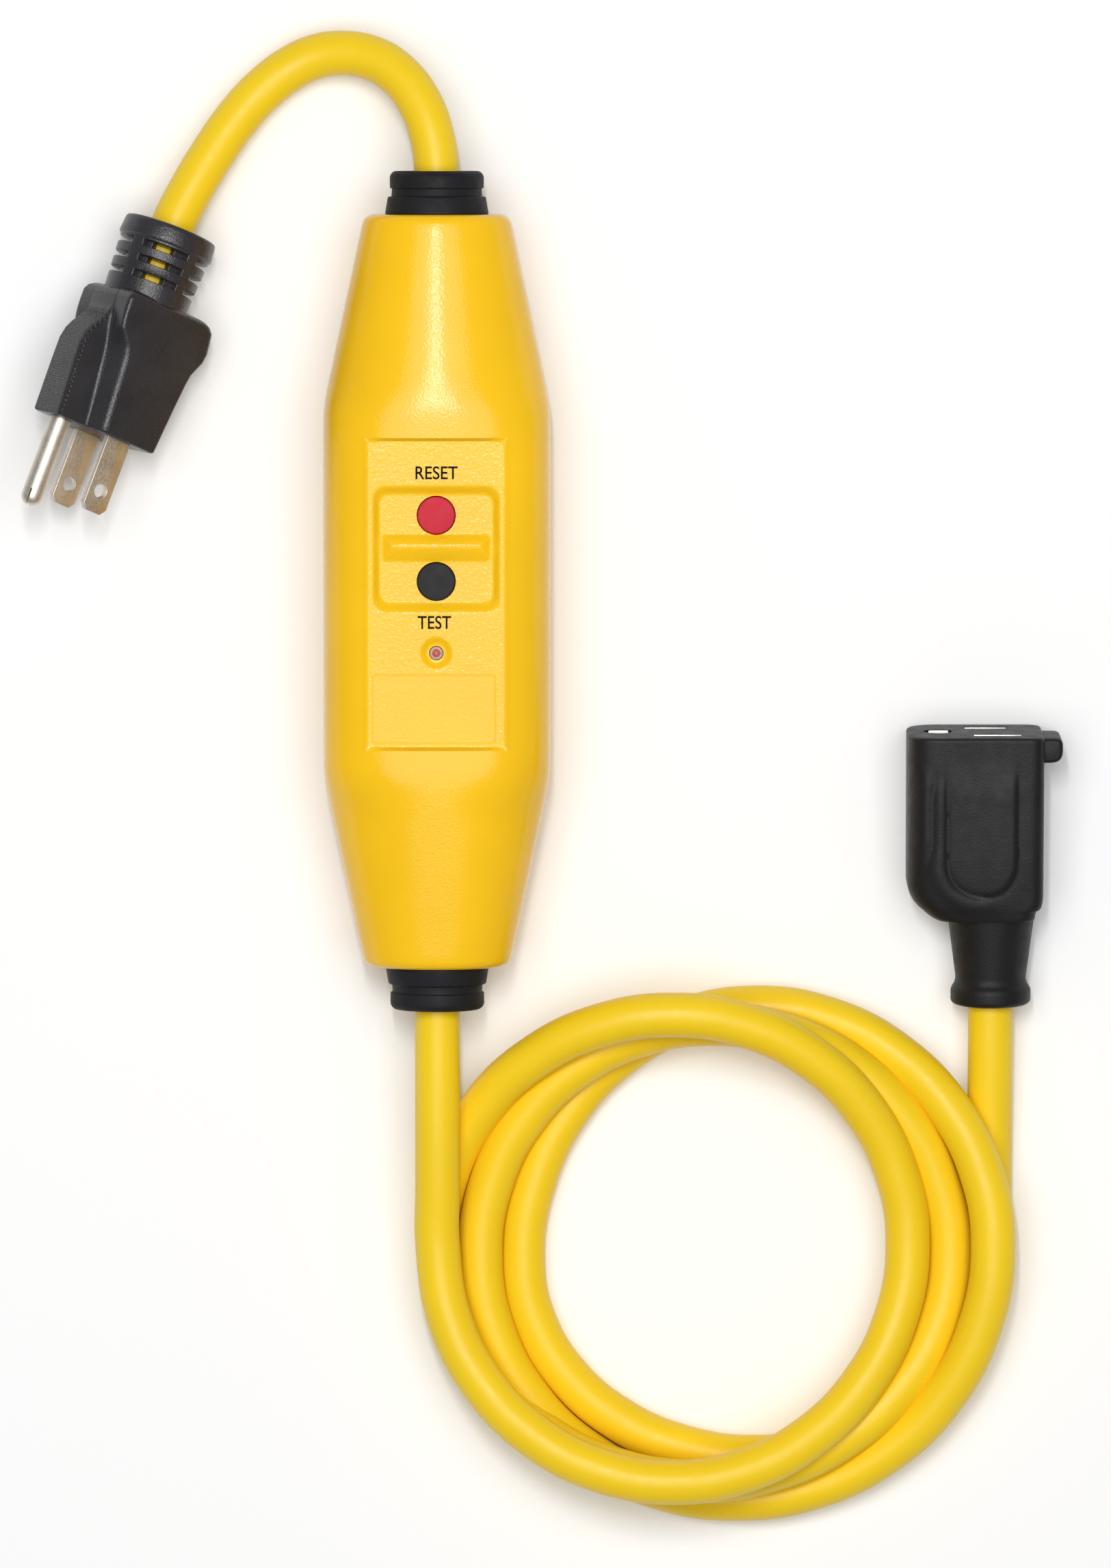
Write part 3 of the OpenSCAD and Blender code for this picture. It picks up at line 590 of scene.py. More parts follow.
SQUARENESS = 3          # exponent of the cross-section's superellipse in the middle
END_SQUARENESS = 2.08   # and at the ends
END_ROUND = 2           # radius of the edge round each end face
SHELL = 1.6             # thickness of the visible shells


def half_size(y, middle, end):
    """Half width or half height of the housing at y, with a soft shoulder and a rounded end edge."""
    past = abs(y) - SHOULDER
    softness = 2.2
    past = (past + math.hypot(past, softness)) / 2
    size = middle + (end - middle) * past / (HALF_L - SHOULDER)
    into = max(abs(y) - (HALF_L - END_ROUND), 0)
    return size - END_ROUND + math.sqrt(max(END_ROUND ** 2 - into ** 2, 0))


def length_stations():
    """Places along the housing where it gets a ring, dense over the controls and round the ends."""
    half = steps(0, 36, 96)
    half += steps(36, 46, 12)[1:]
    half += steps(46, HALF_L - END_ROUND, 22)[1:]
    half += [HALF_L - END_ROUND + END_ROUND * math.sin(a) for a in steps(0, math.pi / 2, 6)[1:]]
    return [-y for y in reversed(half[1:])] + half


def squareness(y):
    return blend(SQUARENESS, END_SQUARENESS, smooth((abs(y) - 35) / 16))


def arc_point(angle, power):
    """Point of the unit superellipse at an angle."""
    c, s = math.cos(angle), math.sin(angle)
    return math.copysign(abs(c) ** (2 / power), c), math.copysign(abs(s) ** (2 / power), s)


def rounded_distance(x, y, half_w, y0, y1, radius):
    """Distance to the outline of a rounded rectangle centred on x = 0: negative inside it."""
    qx = abs(x) - half_w + radius
    qy = abs(y - (y0 + y1) / 2) - (y1 - y0) / 2 + radius
    return math.hypot(max(qx, 0), max(qy, 0)) + min(max(qx, qy), 0) - radius


RECESS_Y0, RECESS_Y1 = TEST_Y - 6.8, RESET_Y + 6.5
RIDGE_Y0, RIDGE_CREST, RIDGE_Y1 = 7.3, 10.7, 13.1
RIDGE_H, RIDGE_HALF_W = 1.35, 11.8
RECESS_HALF_W, RECESS_FLOOR_HALF_W = 14, 12.5
DISH_R, DISH_FLOOR_R, DISH_DEPTH = 3.7, 1.9, 0.9
BEAD_H = 0.16           # height of the fine bead along each side of the panel


def ridge_height(x, y):
    """The hipped bar between the two buttons."""
    rise = min((RIDGE_Y1 - y) / (RIDGE_Y1 - RIDGE_CREST), (y - RIDGE_Y0) / (RIDGE_CREST - RIDGE_Y0),
               (RIDGE_HALF_W - abs(x)) / 2.3)
    rise = min(max(rise, 0), 1)
    return RIDGE_H * (1 - (1 - rise) ** 1.5)


def panel_height(x, y):
    """Height of the control panel, with the button recess, its ridge and the lamp's dish."""
    z = PANEL_Z
    outer = -rounded_distance(x, y, RECESS_HALF_W, RECESS_Y0, RECESS_Y1, 2.8)
    if outer > 0:
        floor = max(rounded_distance(x, y, RECESS_FLOOR_HALF_W, RECESS_Y0 + 2.2, RECESS_Y1 - 1.9, 2.2), 0)
        depth = outer / (outer + floor)
        depth = blend(depth, smooth(depth), 0.6)
        z -= (PANEL_Z - RECESS_Z) * depth
        if floor == 0:
            z += ridge_height(x, y)
    radius = math.hypot(x, y - LAMP_Y)
    return z - DISH_DEPTH * (1 - smooth((radius - DISH_FLOOR_R) / (DISH_R - DISH_FLOOR_R)))


def front_height(x, y, crown):
    """Height of the front cover, whose plain crown would be at height crown."""
    inside = min(smooth((PANEL_HALF_W - abs(x)) / 0.45), smooth((PANEL_HALF_L - abs(y)) / 0.8))
    bead = math.exp(-((PANEL_HALF_W - abs(x)) / 0.4) ** 2) * smooth((PANEL_HALF_L - abs(y)) / 0.5)
    return blend(crown, min(panel_height(x, y), crown), inside) + BEAD_H * bead


FLAT_REACH = 0.66       # share of the half width that the even columns cover


def front_columns():
    """Columns of the front cover: even steps over the controls, and shares of the arc down each side."""
    side = steps(0, 1, 20)[:-1]
    return ([("right", share) for share in side] + [("over", x) for x in steps(FLAT_REACH, -FLAT_REACH, 96)]
            + [("left", share) for share in reversed(side)])


def section_point(column, power):
    """Point of the unit cross-section at a column."""
    kind, value = column
    if kind == "over":
        return value, (1 - abs(value) ** power) ** (1 / power)
    x, z = arc_point(value * math.acos(FLAT_REACH ** (power / 2)), power)
    return (x if kind == "right" else -x), z


def capped(rings, ys, low):
    """Adds rings that close both end faces in to the gland's hole, no lower or higher than low says."""
    hole = 9.4

    def inner(ring, y):
        made = []
        for x, _, z in ring:
            angle = math.atan2(z - MID, x)
            made.append((hole * math.cos(angle), y, low(MID + hole * math.sin(angle))))
        return made

    return [inner(rings[0], ys[0]), *rings, inner(rings[-1], ys[-1])]


def make_front_cover():
    joint = SPLIT + JOINT_GAP / 2
    ys = length_stations()
    columns = front_columns()
    rings = []
    for y in ys:
        w, h = half_size(y, HALF_W, END_HALF_W), half_size(y, MID, END_HALF_H)
        power = squareness(y)
        ring = [(w, y, joint)]
        for column in columns:
            cx, cz = section_point(column, power)
            x, crown = w * cx, MID + h * cz
            ring.append((x, y, front_height(x, y, crown)))
        rings.append([*ring, (-w, y, joint)])
    piece = shell("front_cover_shell", capped(rings, ys, lambda z: max(z, joint)))
    below, above, play = 20, 45, 0.22
    cut(piece, *(upright("hole", 0, y, below, above, BUTTON_R + play) for y in (RESET_Y, TEST_Y)),
        upright("hole", 0, LAMP_Y, below, above, 1.6, 48))
    sharpen(piece, 50)
    mark_panel(piece)
    return place(piece, "root", "housing_yellow", "front_cover")


def shell(name, rings):
    """One shell of the housing, with its wall inwards from the surface through the rings."""
    points = [p for ring in rings for p in ring]
    piece = solid(name, points, grid_faces(len(rings), len(rings[0]), False))
    edit(piece, face_outward)
    modifier = piece.modifiers.new("thicken", "SOLIDIFY")
    modifier.thickness = SHELL * MM
    modifier.offset = -1
    modifier.use_even_offset = False
    return apply_modifiers(piece)


def face_outward(bm):
    """Turns a housing shell's faces away from the housing's axis."""
    def outward(face):
        middle = face.calc_center_median()
        return face.normal.x * middle.x + face.normal.z * (middle.z - MID * MM)

    if sum(outward(face) * face.calc_area() for face in bm.faces) < 0:
        bmesh.ops.reverse_faces(bm, faces=bm.faces)


def store(piece, name, values):
    """Stores one number for each of a piece's vertices."""
    layer = piece.data.attributes.new(name, "FLOAT", "POINT")
    layer.data.foreach_set("value", values)


def mark_panel(piece):
    """Stores how coarse the grain is: fully so on the panel's flats, and a little elsewhere."""
    little = 0.12
    values = []
    for vertex in piece.data.vertices:
        x, y, z = vertex.co / MM
        flat = abs(x) < PANEL_HALF_W - 0.3 and abs(y) < PANEL_HALF_L - 0.6 and z > RECESS_Z - 0.1
        values.append(1.0 if flat else little)
    store(piece, "panel", values)


def make_rear_cover():
    joint = SPLIT - JOINT_GAP / 2
    land = 0.6
    ys = length_stations()
    angles = steps(0, -math.pi, 72)
    rings = []
    for y in ys:
        w, h = half_size(y, HALF_W, END_HALF_W), half_size(y, MID, END_HALF_H)
        ring = [(w, y, joint)]
        for angle in angles[1:-1]:
            cx, cz = arc_point(angle, SQUARENESS)
            ring.append((w * cx, y, min(MID + max((h + land) * cz, -h), joint)))
        rings.append([*ring, (-w, y, joint)])
    piece = shell("rear_cover_shell", capped(rings, ys, lambda z: min(z, joint)))
    spots = [(x, y) for x in (-16.5, 16.5) for y in (-57, 57)]
    inner, outer, shank, seat, roof = 3.1, 3.9, 1.6, 9, 9.8
    cut(piece, *(upright("counterbore", x, y, -5, seat - 0.1, inner, 48) for x, y in spots))
    profile = [(inner, 1), (inner, seat), (shank, seat), (shank, roof), (outer, roof), (outer, 1)]
    cups = [lathe("cup", profile, Matrix.Translation((x, y, 0)), 48) for x, y in spots]
    for cup in cups:
        edit(cup, end_in_wall)
    join(piece, *cups)
    sharpen(piece, 50)
    return place(piece, "root", "housing_yellow", "rear_cover")


def end_in_wall(bm):
    """Ends a screw's cup inside the rear cover's wall."""
    for vertex in bm.verts:
        x, y, z = vertex.co / MM
        if z < 2:
            w, h = half_size(y, HALF_W, END_HALF_W), half_size(y, MID, END_HALF_H)
            underside = MID - h * (1 - min(abs(x / w), 1) ** SQUARENESS) ** (1 / SQUARENESS)
            vertex.co.z = (underside + 0.4) * MM


def make_glands():
    """Rubber bushings, turned from (radius, height above the housing's end face)."""
    profile = [(5.05, -4.8), (10.2, -4.8), (10.2, -2.5), (9.15, -2.5), (9.15, 0), (11.45, 0), (11.4, 0.6),
               (10.85, 3.9), (10.05, 4.0), (9.95, 5.7), (10.4, 5.8), (10.45, 8.6), (9.6, 9.6), (5.6, 9.6),
               (5.05, 9.2)]
    radii = [0, 0, 0, 0, 0, 0.2, 0, 0.3, 0.15, 0.15, 0.25, 0.7, 0.7, 0.3, 0]
    profile = round_corners(profile, radii, 3)
    for name, sign in (("input_gland", 1), ("output_gland", -1)):
        placing = Matrix.Translation((0, sign * HALF_L, MID)) @ Matrix.Rotation(-sign * math.pi / 2, 4, "X")
        piece = lathe(name + "_bushing", profile, placing, 120)
        place(sharpen(piece), "root", "black_rubber", name)


# ---- Controls ----


def make_buttons():
    """Flat round buttons with a small rounded rim, each on its own body."""
    flange, cap, flange_r = 30.4, 1.5, 5.4
    profile = [(0, flange), (flange_r, flange), (flange_r, flange + cap), (BUTTON_R, flange + cap),
               (BUTTON_R, BUTTON_TOP), (0, BUTTON_TOP + 0.12)]
    profile = round_corners(profile, [0, 0.2, 0.2, 0, 0.35, 0], 5, closed=False)
    for name, y, look in (("reset", RESET_Y, "reset_red"), ("test", TEST_Y, "button_black")):
        piece = lathe(name + "_button_cap", profile, Matrix.Translation((0, y, 0)))
        place(sharpen(piece), name, look, name + "_button")
    foot, top, stem_r = 22.8, flange + 0.2, 1.2
    stem = lathe("test_button_stem", [(0, foot), (stem_r, foot), (stem_r, top), (0, top)],
                 Matrix.Translation((0, TEST_Y, 0)), 32)
    place(sharpen(stem), "test", "button_black")


def make_lamp():
    """A clear domed lens with a red die inside it."""
    base, flange = PANEL_Z - DISH_DEPTH, 30
    lens_r, flange_r, die_r = 1.45, 1.9, 0.8
    placing = Matrix.Translation((0, LAMP_Y, 0))
    dome = [(lens_r * math.cos(a), base + 0.35 + math.sin(a)) for a in steps(0, math.pi / 2, 8)]
    foot = [(0, flange), (flange_r, flange), (flange_r, flange + 1), (lens_r, flange + 1)]
    lens = lathe("indicator_lens", foot + dome, placing, 64)
    place(lens, "root", "lamp_clear", "indicator_led")
    glow = [(die_r * math.cos(a), base + 0.25 + 0.7 * math.sin(a)) for a in steps(0, math.pi / 2, 6)]
    die = lathe("indicator_die", [(0, base - 1.5), (die_r, base - 1.5), *glow], placing, 48)
    place(die, "root", "lamp_red", slot="lamp_clear")
    cup_r = lens_r - 0.05
    profile = [(0, base - 0.4), (cup_r, base - 0.4), (cup_r, base + 0.3), (0, base)]
    cup = lathe("indicator_cup", profile, placing, 48)
    place(cup, "root", "lamp_cup", slot="lamp_clear")


def make_label():
    """The blank label plate: a thin plate with a soft raised border."""
    x0, x1, y0, y1 = -14.2, 13.2, -33.1, -17.6
    border, top, soft = 0.35, 0.16, 0.12
    profile = [(0, 0), (0.05, top - 0.04), (soft, top), (border, top), (border + soft, top - 0.05)]
    rings = []
    for inset, height in profile:
        outline = [(x0 + inset, y0 + inset), (x1 - inset, y0 + inset), (x1 - inset, y1 - inset),
                   (x0 + inset, y1 - inset)]
        rings.append([(x, y, PANEL_Z + height) for x, y in round_corners(outline, max(1 - inset, 0.3), 4)])
    piece = loft("blank_label_plate", rings)
    sharpen(piece, 12)
    store(piece, "panel", [0.5] * len(piece.data.vertices))
    place(piece, "root", "housing_yellow", "label_plate")


def make_lettering():
    """The names of the two buttons, printed on the panel in plain capitals."""
    letter_h, lift, thickness = 2.9, 0.06, 6
    for word, x, y, width in (("RESET", 0, RESET_Y + 9.4, 9.3), ("TEST", -0.4, TEST_Y - 9, 7.4)):
        text = bpy.data.curves.new("print_" + word.lower(), "FONT")
        text.body = word
        text.align_x = "CENTER"
        text.align_y = "CENTER"
        text.offset = 0.008
        text.extrude = 0.006
        text.resolution_u = 6
        source = link("print", text)
        graph = bpy.context.evaluated_depsgraph_get()
        mesh = bpy.data.meshes.new_from_object(source.evaluated_get(graph))
        bpy.data.objects.remove(source)
        xs = [v.co.x for v in mesh.vertices]
        ys = [v.co.y for v in mesh.vertices]
        scale_x = width / (max(xs) - min(xs))
        scale_y = letter_h / (max(ys) - min(ys))
        middle = (max(ys) + min(ys)) / 2
        for vertex in mesh.vertices:
            u, v, z = vertex.co
            flat = (x + u * scale_x, y + (v - middle) * scale_y)
            vertex.co = Vector((*flat, PANEL_Z + lift + z * thickness)) * MM
        piece = link("print_" + word.lower(), mesh)
        place(piece, "root", "print_black", slot="button_black")


# ---- Plug: local +Z points out of its face, +X from blade to blade, +Y to the ground pin ----

BLADE_DROP = 2          # from the plug's axis down to the line of the blades
PLUG = pin_frame("plug_line_blade", "plug_neutral_blade", BLADE_LENGTH / 2)
PLUG = PLUG @ Matrix.Translation((0, BLADE_DROP, 0))
PIN_Y = GROUND_OFFSET - BLADE_DROP

# z, bottom, half width, ridge height, crease half width, crease height, lobe half width, lobe height
PLUG_STATIONS = [
    (0, -10.4, 9.6, 4.2, 5.4, 6.5, 5.3, 14.4),
    (-11, -11.3, 9.8, 5.1, 5.5, 7.4, 5.0, 14.9),
    (-17, -11.9, 9.9, 5.7, 5.6, 7.9, 4.8, 15.1),
    (-19.5, -12.3, 9.95, 6.6, 5.6, 8.3, 4.7, 14.6),
    (-21.5, -13.3, 10, 8.4, 5.6, 8.8, 4.6, 13.6),
    (-23, -14.2, 10, 9.8, 5.5, 9.2, 4.5, 12.5),
    (-25.2, -14.8, 10, 10.2, 5.3, 9.6, 4.4, 11.0),
    (-27.2, -14.7, 10, 10.3, 5.0, 10.1, 4.2, 10.4),
    (-29.8, -14.3, 10, 10.3, 4.9, 10.3, 4.0, 10.4),
    (-31, -13.4, 9.6, 9.8, 4.8, 9.8, 3.8, 9.9),
    (-31.9, -12.3, 8.8, 8.9, 4.6, 8.9, 3.6, 9.0)]


def plug_section(z, shrink=0.0):
    """Outline of the plug at z: a broad block below and the ground lobe above."""
    bottom, wide, ridge, crease, dip, lobe, high = along(PLUG_STATIONS, z)
    foot = dip + min(0.6, 0.4 * (high - dip))
    wide, lobe = wide - shrink, lobe - shrink
    half = [(wide, bottom + shrink), (wide, ridge - shrink * 0.5),
            (crease - shrink * 0.5, dip - shrink * 0.8), (lobe, foot), (lobe, high - shrink)]
    radii = [blend(1.2, 2.6, smooth((-z - 20) / 8)), 1.3, 2.2, 0.6, 1.1]
    outline = half + [(-b, g) for b, g in reversed(half)]
    return round_corners(outline, radii + radii[::-1], 6)


def make_plug_body():
    body_l = PLUG_LENGTH - RELIEF_LENGTH
    zs = [*steps(-0.5, -16, 12), *steps(-16.5, -31, 44)]
    rings = [[(x, y, 0) for x, y in plug_section(0, 0.5)]]
    rings.append([(x, y, -0.15) for x, y in plug_section(0, 0.15)])
    rings += [[(x, y, z) for x, y in plug_section(z)] for z in zs]
    rings.append([(x, y, 0.25 - body_l) for x, y in plug_section(0.25 - body_l, 0.15)])
    rings.append([(x, y, -body_l) for x, y in plug_section(-body_l, 0.6)])
    piece = loft("plug_body_moulding", rings, PLUG)
    join(piece, make_seam())
    mark_hatch(piece)
    sharpen(piece, 42)
    return place(piece, "root", "plug_black", "plug_body")


def make_seam():
    """The fine raised line along the plug's broad side."""
    size, start, end = 0.09, -11.7, -25.5
    rings = []
    for z in steps(start, end, 16):
        wide = along(PLUG_STATIONS, z)[1]
        g = -2.2 - 0.8 * smooth((-z - 21) / 4)
        rings.append([(wide - size, g - size, z), (wide + size, g - size, z), (wide + size, g + size, z),
                      (wide - size, g + size, z)])
    return loft("seam", rings, PLUG)


def mark_hatch(piece):
    """Stores a fine hatch on the end of the ground lobe, and the places that its lines follow."""
    back = PLUG.inverted()
    local = [back @ (vertex.co / MM) for vertex in piece.data.vertices]
    mask = []
    for b, g, z in local:
        lobe, high = along(PLUG_STATIONS, z)[5:]
        mask.append(1.0 if g > high - 0.9 and abs(b) < lobe and z > -26 else 0.0)
    store(piece, "hatch", mask)
    store(piece, "across", [b for b, _, _ in local])
    store(piece, "lengthwise", [z for _, _, z in local])


RIBBED_R0, RIBBED_R1 = 10.35, 9.6       # outer radius of the ribbed part, from its ring to the plug's body
SLOT_FLOOR_R, WINDOW_FLOOR_R = 7.7, 4.85
SLOT_H, SLOT_PITCH, FIRST_SLOT = 1.5, 3.5, 4.9
# Edges of the slots and of the windows inside them, in degrees from the side that faces up
SLOTS = [(-35, 27), (43, 130), (145, 207), (223, 310)]
WINDOWS = [(-19, 19), (161, 199)]
# Widths of a cut's rounded edge and of its steep wall, along the plug and in degrees round it
SOFT_Z, STEEP_Z = 0.14, 0.06
SOFT_ANGLE, STEEP_ANGLE = 0.8, 0.4
ROUND_SHARE = 0.035     # share of a cut's depth that its rounded edge takes


def wall(inside, soft, steep):
    """How deep a cut is, as a share, at a distance inside its edge: a small round and then a steep wall."""
    if inside <= 0:
        return ROUND_SHARE * max(1 + inside / soft, 0) ** 2
    return blend(ROUND_SHARE, 1, min(inside / steep, 1))


def edge_places(edges, soft, steep):
    """Places where a grid needs a line to show each edge crisply."""
    shifts = (-soft, -soft / 2, 0, steep, -steep, soft / 2, soft)
    return [edge + shift for edge in edges for shift in shifts]


def relief_profile(end, top):
    """Rows of (z, outer radius) from the end ring to the plug's body, apart from the slots."""
    ring = [(0, 10.0), (0.12, 10.3), (0.45, 10.5), (1.2, 10.6), (3.4, 10.8), (4.0, 10.78), (4.25, 10.6),
            (4.4, RIBBED_R0)]
    rows = [(end + z, r) for z, r in ring]
    return rows + [(top, RIBBED_R1)]


def make_plug_relief():
    """A sleeve with an end ring and three rows of slots, and windows in the slots that show the cord."""
    end, top = -PLUG_LENGTH, 0.6 + RELIEF_LENGTH - PLUG_LENGTH
    profile = relief_profile(end, top)
    facing = PLUG.inverted().to_3x3() @ Vector((0, 0, 1))
    front = math.atan2(facing.y, facing.x)
    starts = [end + FIRST_SLOT + SLOT_PITCH * k for k in range(3)]
    rows = [(start, start + SLOT_H) for start in starts]
    edges = edge_places([z for row in rows for z in row], SOFT_Z, STEEP_Z)
    heights = sorted({*(z for z, _ in profile), *edges})
    edges = edge_places([a for pair in SLOTS + WINDOWS for a in pair], SOFT_ANGLE, STEEP_ANGLE)
    angles = sorted({round(a % 360, 3) for a in (*steps(0, 357, 119), *edges)})
    falling = [(z, r) for z, r in reversed(profile)]
    bore = CORD_D / 2 + 0.05
    rings = [[(bore, a, end + 0.15) for a in angles]]
    for z in heights:
        radius = along(falling, z)[0]
        in_row = max(wall(min(z - low, high - z), SOFT_Z, STEEP_Z) for low, high in rows)
        ring = []
        for a in angles:
            slot = in_row * cut_share(a, SLOTS)
            window = in_row * cut_share(a, WINDOWS)
            r = radius - slot * (radius - SLOT_FLOOR_R)
            ring.append((blend(r, min(r, WINDOW_FLOOR_R), window), a, z))
        rings.append(ring)
    rings.append([(bore, a, top) for a in angles])
    points = []
    for ring in rings:
        for r, a, z in ring:
            turn = front + math.radians(a)
            points.append((r * math.cos(turn), r * math.sin(turn), z))
    sleeve = solid("plug_relief_sleeve", points, grid_faces(len(rings), len(angles), True), PLUG)
    for name in ("hatch", "across", "lengthwise"):
        store(sleeve, name, [0.0] * len(points))
    return place(sharpen(sleeve, 42), "root", "plug_black", "plug_strain_relief")


def cut_share(angle, spans):
    """How deep the sleeve is cut at an angle, as a share."""
    def inside(span):
        low, high = span
        from_low = (angle - low) % 360
        return min(from_low, high - low - from_low) if from_low < 300 else from_low - 360
    return max(wall(inside(span), SOFT_ANGLE, STEEP_ANGLE) for span in spans)


def make_blades():
    """Two flat blades with a round hole and a chamfered tip."""
    made = []
    half_w, half_t = BLADE_WIDTH / 2, BLADE_THICKNESS / 2
    root, side_cut, tip_cut, hole_r, hole_back = -12, 1.4, 1.2, 1.55, 5
    for name, sign in (("line", 1), ("neutral", -1)):
        x = sign * BLADE_SPACING / 2
        outline = [(-half_w, root), (half_w, root), (half_w, BLADE_LENGTH - side_cut),
                   (half_w - tip_cut, BLADE_LENGTH), (tip_cut - half_w, BLADE_LENGTH),
                   (-half_w, BLADE_LENGTH - side_cut)]
        rings = [[(x + side * half_t, y - BLADE_DROP, z) for y, z in outline] for side in (-1, 1)]
        blade = loft("plug_blade_" + name, rings, PLUG)
        hole_place = PLUG @ Matrix.Translation((x, -BLADE_DROP, BLADE_LENGTH - hole_back))
        hole_place = hole_place @ Matrix.Rotation(math.pi / 2, 4, "Y")
        hole = lathe("hole", [(0, -4), (hole_r, -4), (hole_r, 4), (0, 4)], hole_place, 48)
        cut(blade, hole)
        bevel(blade, 0.16, 2, 30)
        nodes = ["plug_blades"] if sign > 0 else []
        made.append(place(sharpen(blade, 20), "root", "nickel", *nodes))
    return made


def make_ground_pin():
    """A round pin with a domed tip, slit where its sheet was rolled together."""
    r = PIN_D / 2
    tip = [(r * math.cos(a), PIN_LENGTH - r + r * math.sin(a)) for a in steps(0, math.pi / 2, 10)]
    placing = PLUG @ Matrix.Translation((0, PIN_Y, 0))
    neck, root = r - 0.3, -12
    pin = lathe("plug_pin", [(0, root), (neck, root), (neck, 0.3), (r, 0.3), *tip], placing, 72)
    placing = placing @ Matrix.Rotation(math.radians(-40), 4, "Z")
    slit = block("slit", (-0.22, 0.3, PIN_LENGTH - 3.6), (0.22, 4, PIN_LENGTH + 1), placing)
    cut(pin, slit)
    return place(sharpen(pin, 40), "root", "nickel", "plug_ground_pin")


# ---- Connector: local +Z points out of its face, +Y up, and -X to the ground hole ----


def connector_frame():
    """The connector's frame, from its cord end; it's left-handed, so it mirrors what is placed in it."""
    a, b, out = mount_pair("connector_line_slot", "connector_neutral_slot")
    up = (b - a).normalized()
    turn = Matrix((out.cross(up), up, out)).transposed().to_4x4()
    return Matrix.Translation((a + b) / 2 - out * CONNECTOR_LENGTH) @ turn


CONNECTOR = connector_frame()

# z, left side, right side, half thickness, left corner, right corner
CONNECTOR_STATIONS = [
    (61.3, -18.9, 11.3, 12.8, 7.0, 3.2),
    (48, -18.9, 11.3, 12.4, 7.0, 3.2),
    (34, -18.9, 11.3, 11.9, 7.0, 3.4),
    (28, -18.9, 11.3, 11.5, 7.0, 3.4),
    (26.6, -18.7, 11.3, 11.4, 7.0, 3.4),
    (25.2, -18.2, 11.3, 11.3, 7.0, 3.4),
    (24, -17.5, 11.2, 11.2, 6.9, 3.4),
    (23, -16.7, 11.0, 11.1, 6.8, 3.4),
    (22.3, -15.9, 10.6, 11.0, 6.6, 3.5),
    (21.9, -15.4, 9.8, 10.9, 6.4, 3.6),
    (21, -14.4, 9.6, 10.7, 6.2, 3.8),
    (20.2, -13.3, 9.5, 10.5, 6.0, 4.0),
    (19.6, -12.1, 9.3, 10.2, 6.0, 4.5)]
CONNECTOR_SIDES = 260


def connector_ring(z, shrink=0.0):
    """A rounded section with wide corners on the ground side; equal angles give equal rings."""
    left, right, half, soft_left, soft_right = along(CONNECTOR_STATIONS, z)
    left, right, half = left + shrink, right - shrink, half - shrink
    corner_points = [(right, half), (left, half), (left, -half), (right, -half)]
    outline = round_corners(corner_points, [soft_right, soft_left, soft_left, soft_right], 12)
    return resample(outline, CONNECTOR_SIDES)


def resample(outline, count):
    """Evenly spaced points round a closed outline, from its first point."""
    points = [Vector(p) for p in outline]
    points.append(points[0])
    lengths = [0]
    for a, b in zip(points, points[1:]):
        lengths.append(lengths[-1] + (b - a).length)
    made = []
    k = 0
    for i in range(count):
        target = lengths[-1] * i / count
        while lengths[k + 1] < target:
            k += 1
        share = (target - lengths[k]) / max(lengths[k + 1] - lengths[k], 1e-9)
        made.append(tuple(points[k].lerp(points[k + 1], share)))
    return made


def pad_distance(x, z):
    """Distance outside the thumb-shaped pad on the connector's broad side: negative inside it."""
    middle, half = -2.6, 7.8
    bend = 25.4 + half
    if z > bend:
        return abs(x - middle) - half
    return math.hypot(x - middle, z - bend) - half


def connector_relief(x, z):
    """Height of the detail above the plain broad side: a pad in a groove, and a rib on the ground side."""
    out = pad_distance(x, z)
    ground_side = smooth((2 - x) / 6)
    pad_h, groove_depth, rib_h = blend(0.85, 0.4, ground_side), blend(0.15, 0.7, ground_side), 0.6
    fade = smooth((57 - z) / 10)
    pad = smooth((0.9 - out) / 1.8)
    groove = math.exp(-((out - 1.8) / 2.3) ** 2)
    rib = math.exp(-((x + 14.6) / 2.6) ** 2) * smooth((z - 29) / 10) * smooth((56 - z) / 6)
    return fade * (pad_h * pad - groove_depth * groove) + rib_h * rib


def make_connector():
    zs = [*steps(19.7, 22.3, 8), *steps(22.8, 56, 66), *steps(56.6, 60.6, 8)]
    rings = [connector_layer(19.6, 0.9)]
    rings += [connector_layer(z) for z in zs]
    for z, shrink in ((60.98, 0.12), (61.2, 0.4), (CONNECTOR_LENGTH, 0.9)):
        rings.append(connector_layer(z, shrink))
    body = loft("connector_body_moulding", rings, CONNECTOR)
    tab = connector_tab()
    cut(body, *connector_holes())
    profile = [(5.1, 0), (8.1, 0), (8.95, 0.7), (8.95, 3.6), (8.1, 4.8), (7.85, 6), (9.75, 20.5),
               (5.1, 20.5)]
    radii = [0, 0.6, 0.9, 0.9, 0.8, 0.5, 0, 0]
    relief = lathe("relief", round_corners(profile, radii, 4), CONNECTOR, 112)
    join(body, tab, relief)
    sharpen(body, 48)
    return place(body, "root", "connector_black", "connector_body")


def connector_layer(z, shrink=0.0):
    """One ring of the connector's body, with its broad sides' detail, cut off at the floor."""
    ring = []
    half = along(CONNECTOR_STATIONS, z)[2]
    underside = 0.1 - (CONNECTOR @ Vector((0, 0, z))).z / CONNECTOR.col[1].z
    for x, y in connector_ring(z, shrink):
        facing = smooth((abs(y) / half - 0.55) / 0.4)
        lift = connector_relief(x, z) * facing
        ring.append((x, max(y + math.copysign(lift, y), underside), z))
    return ring


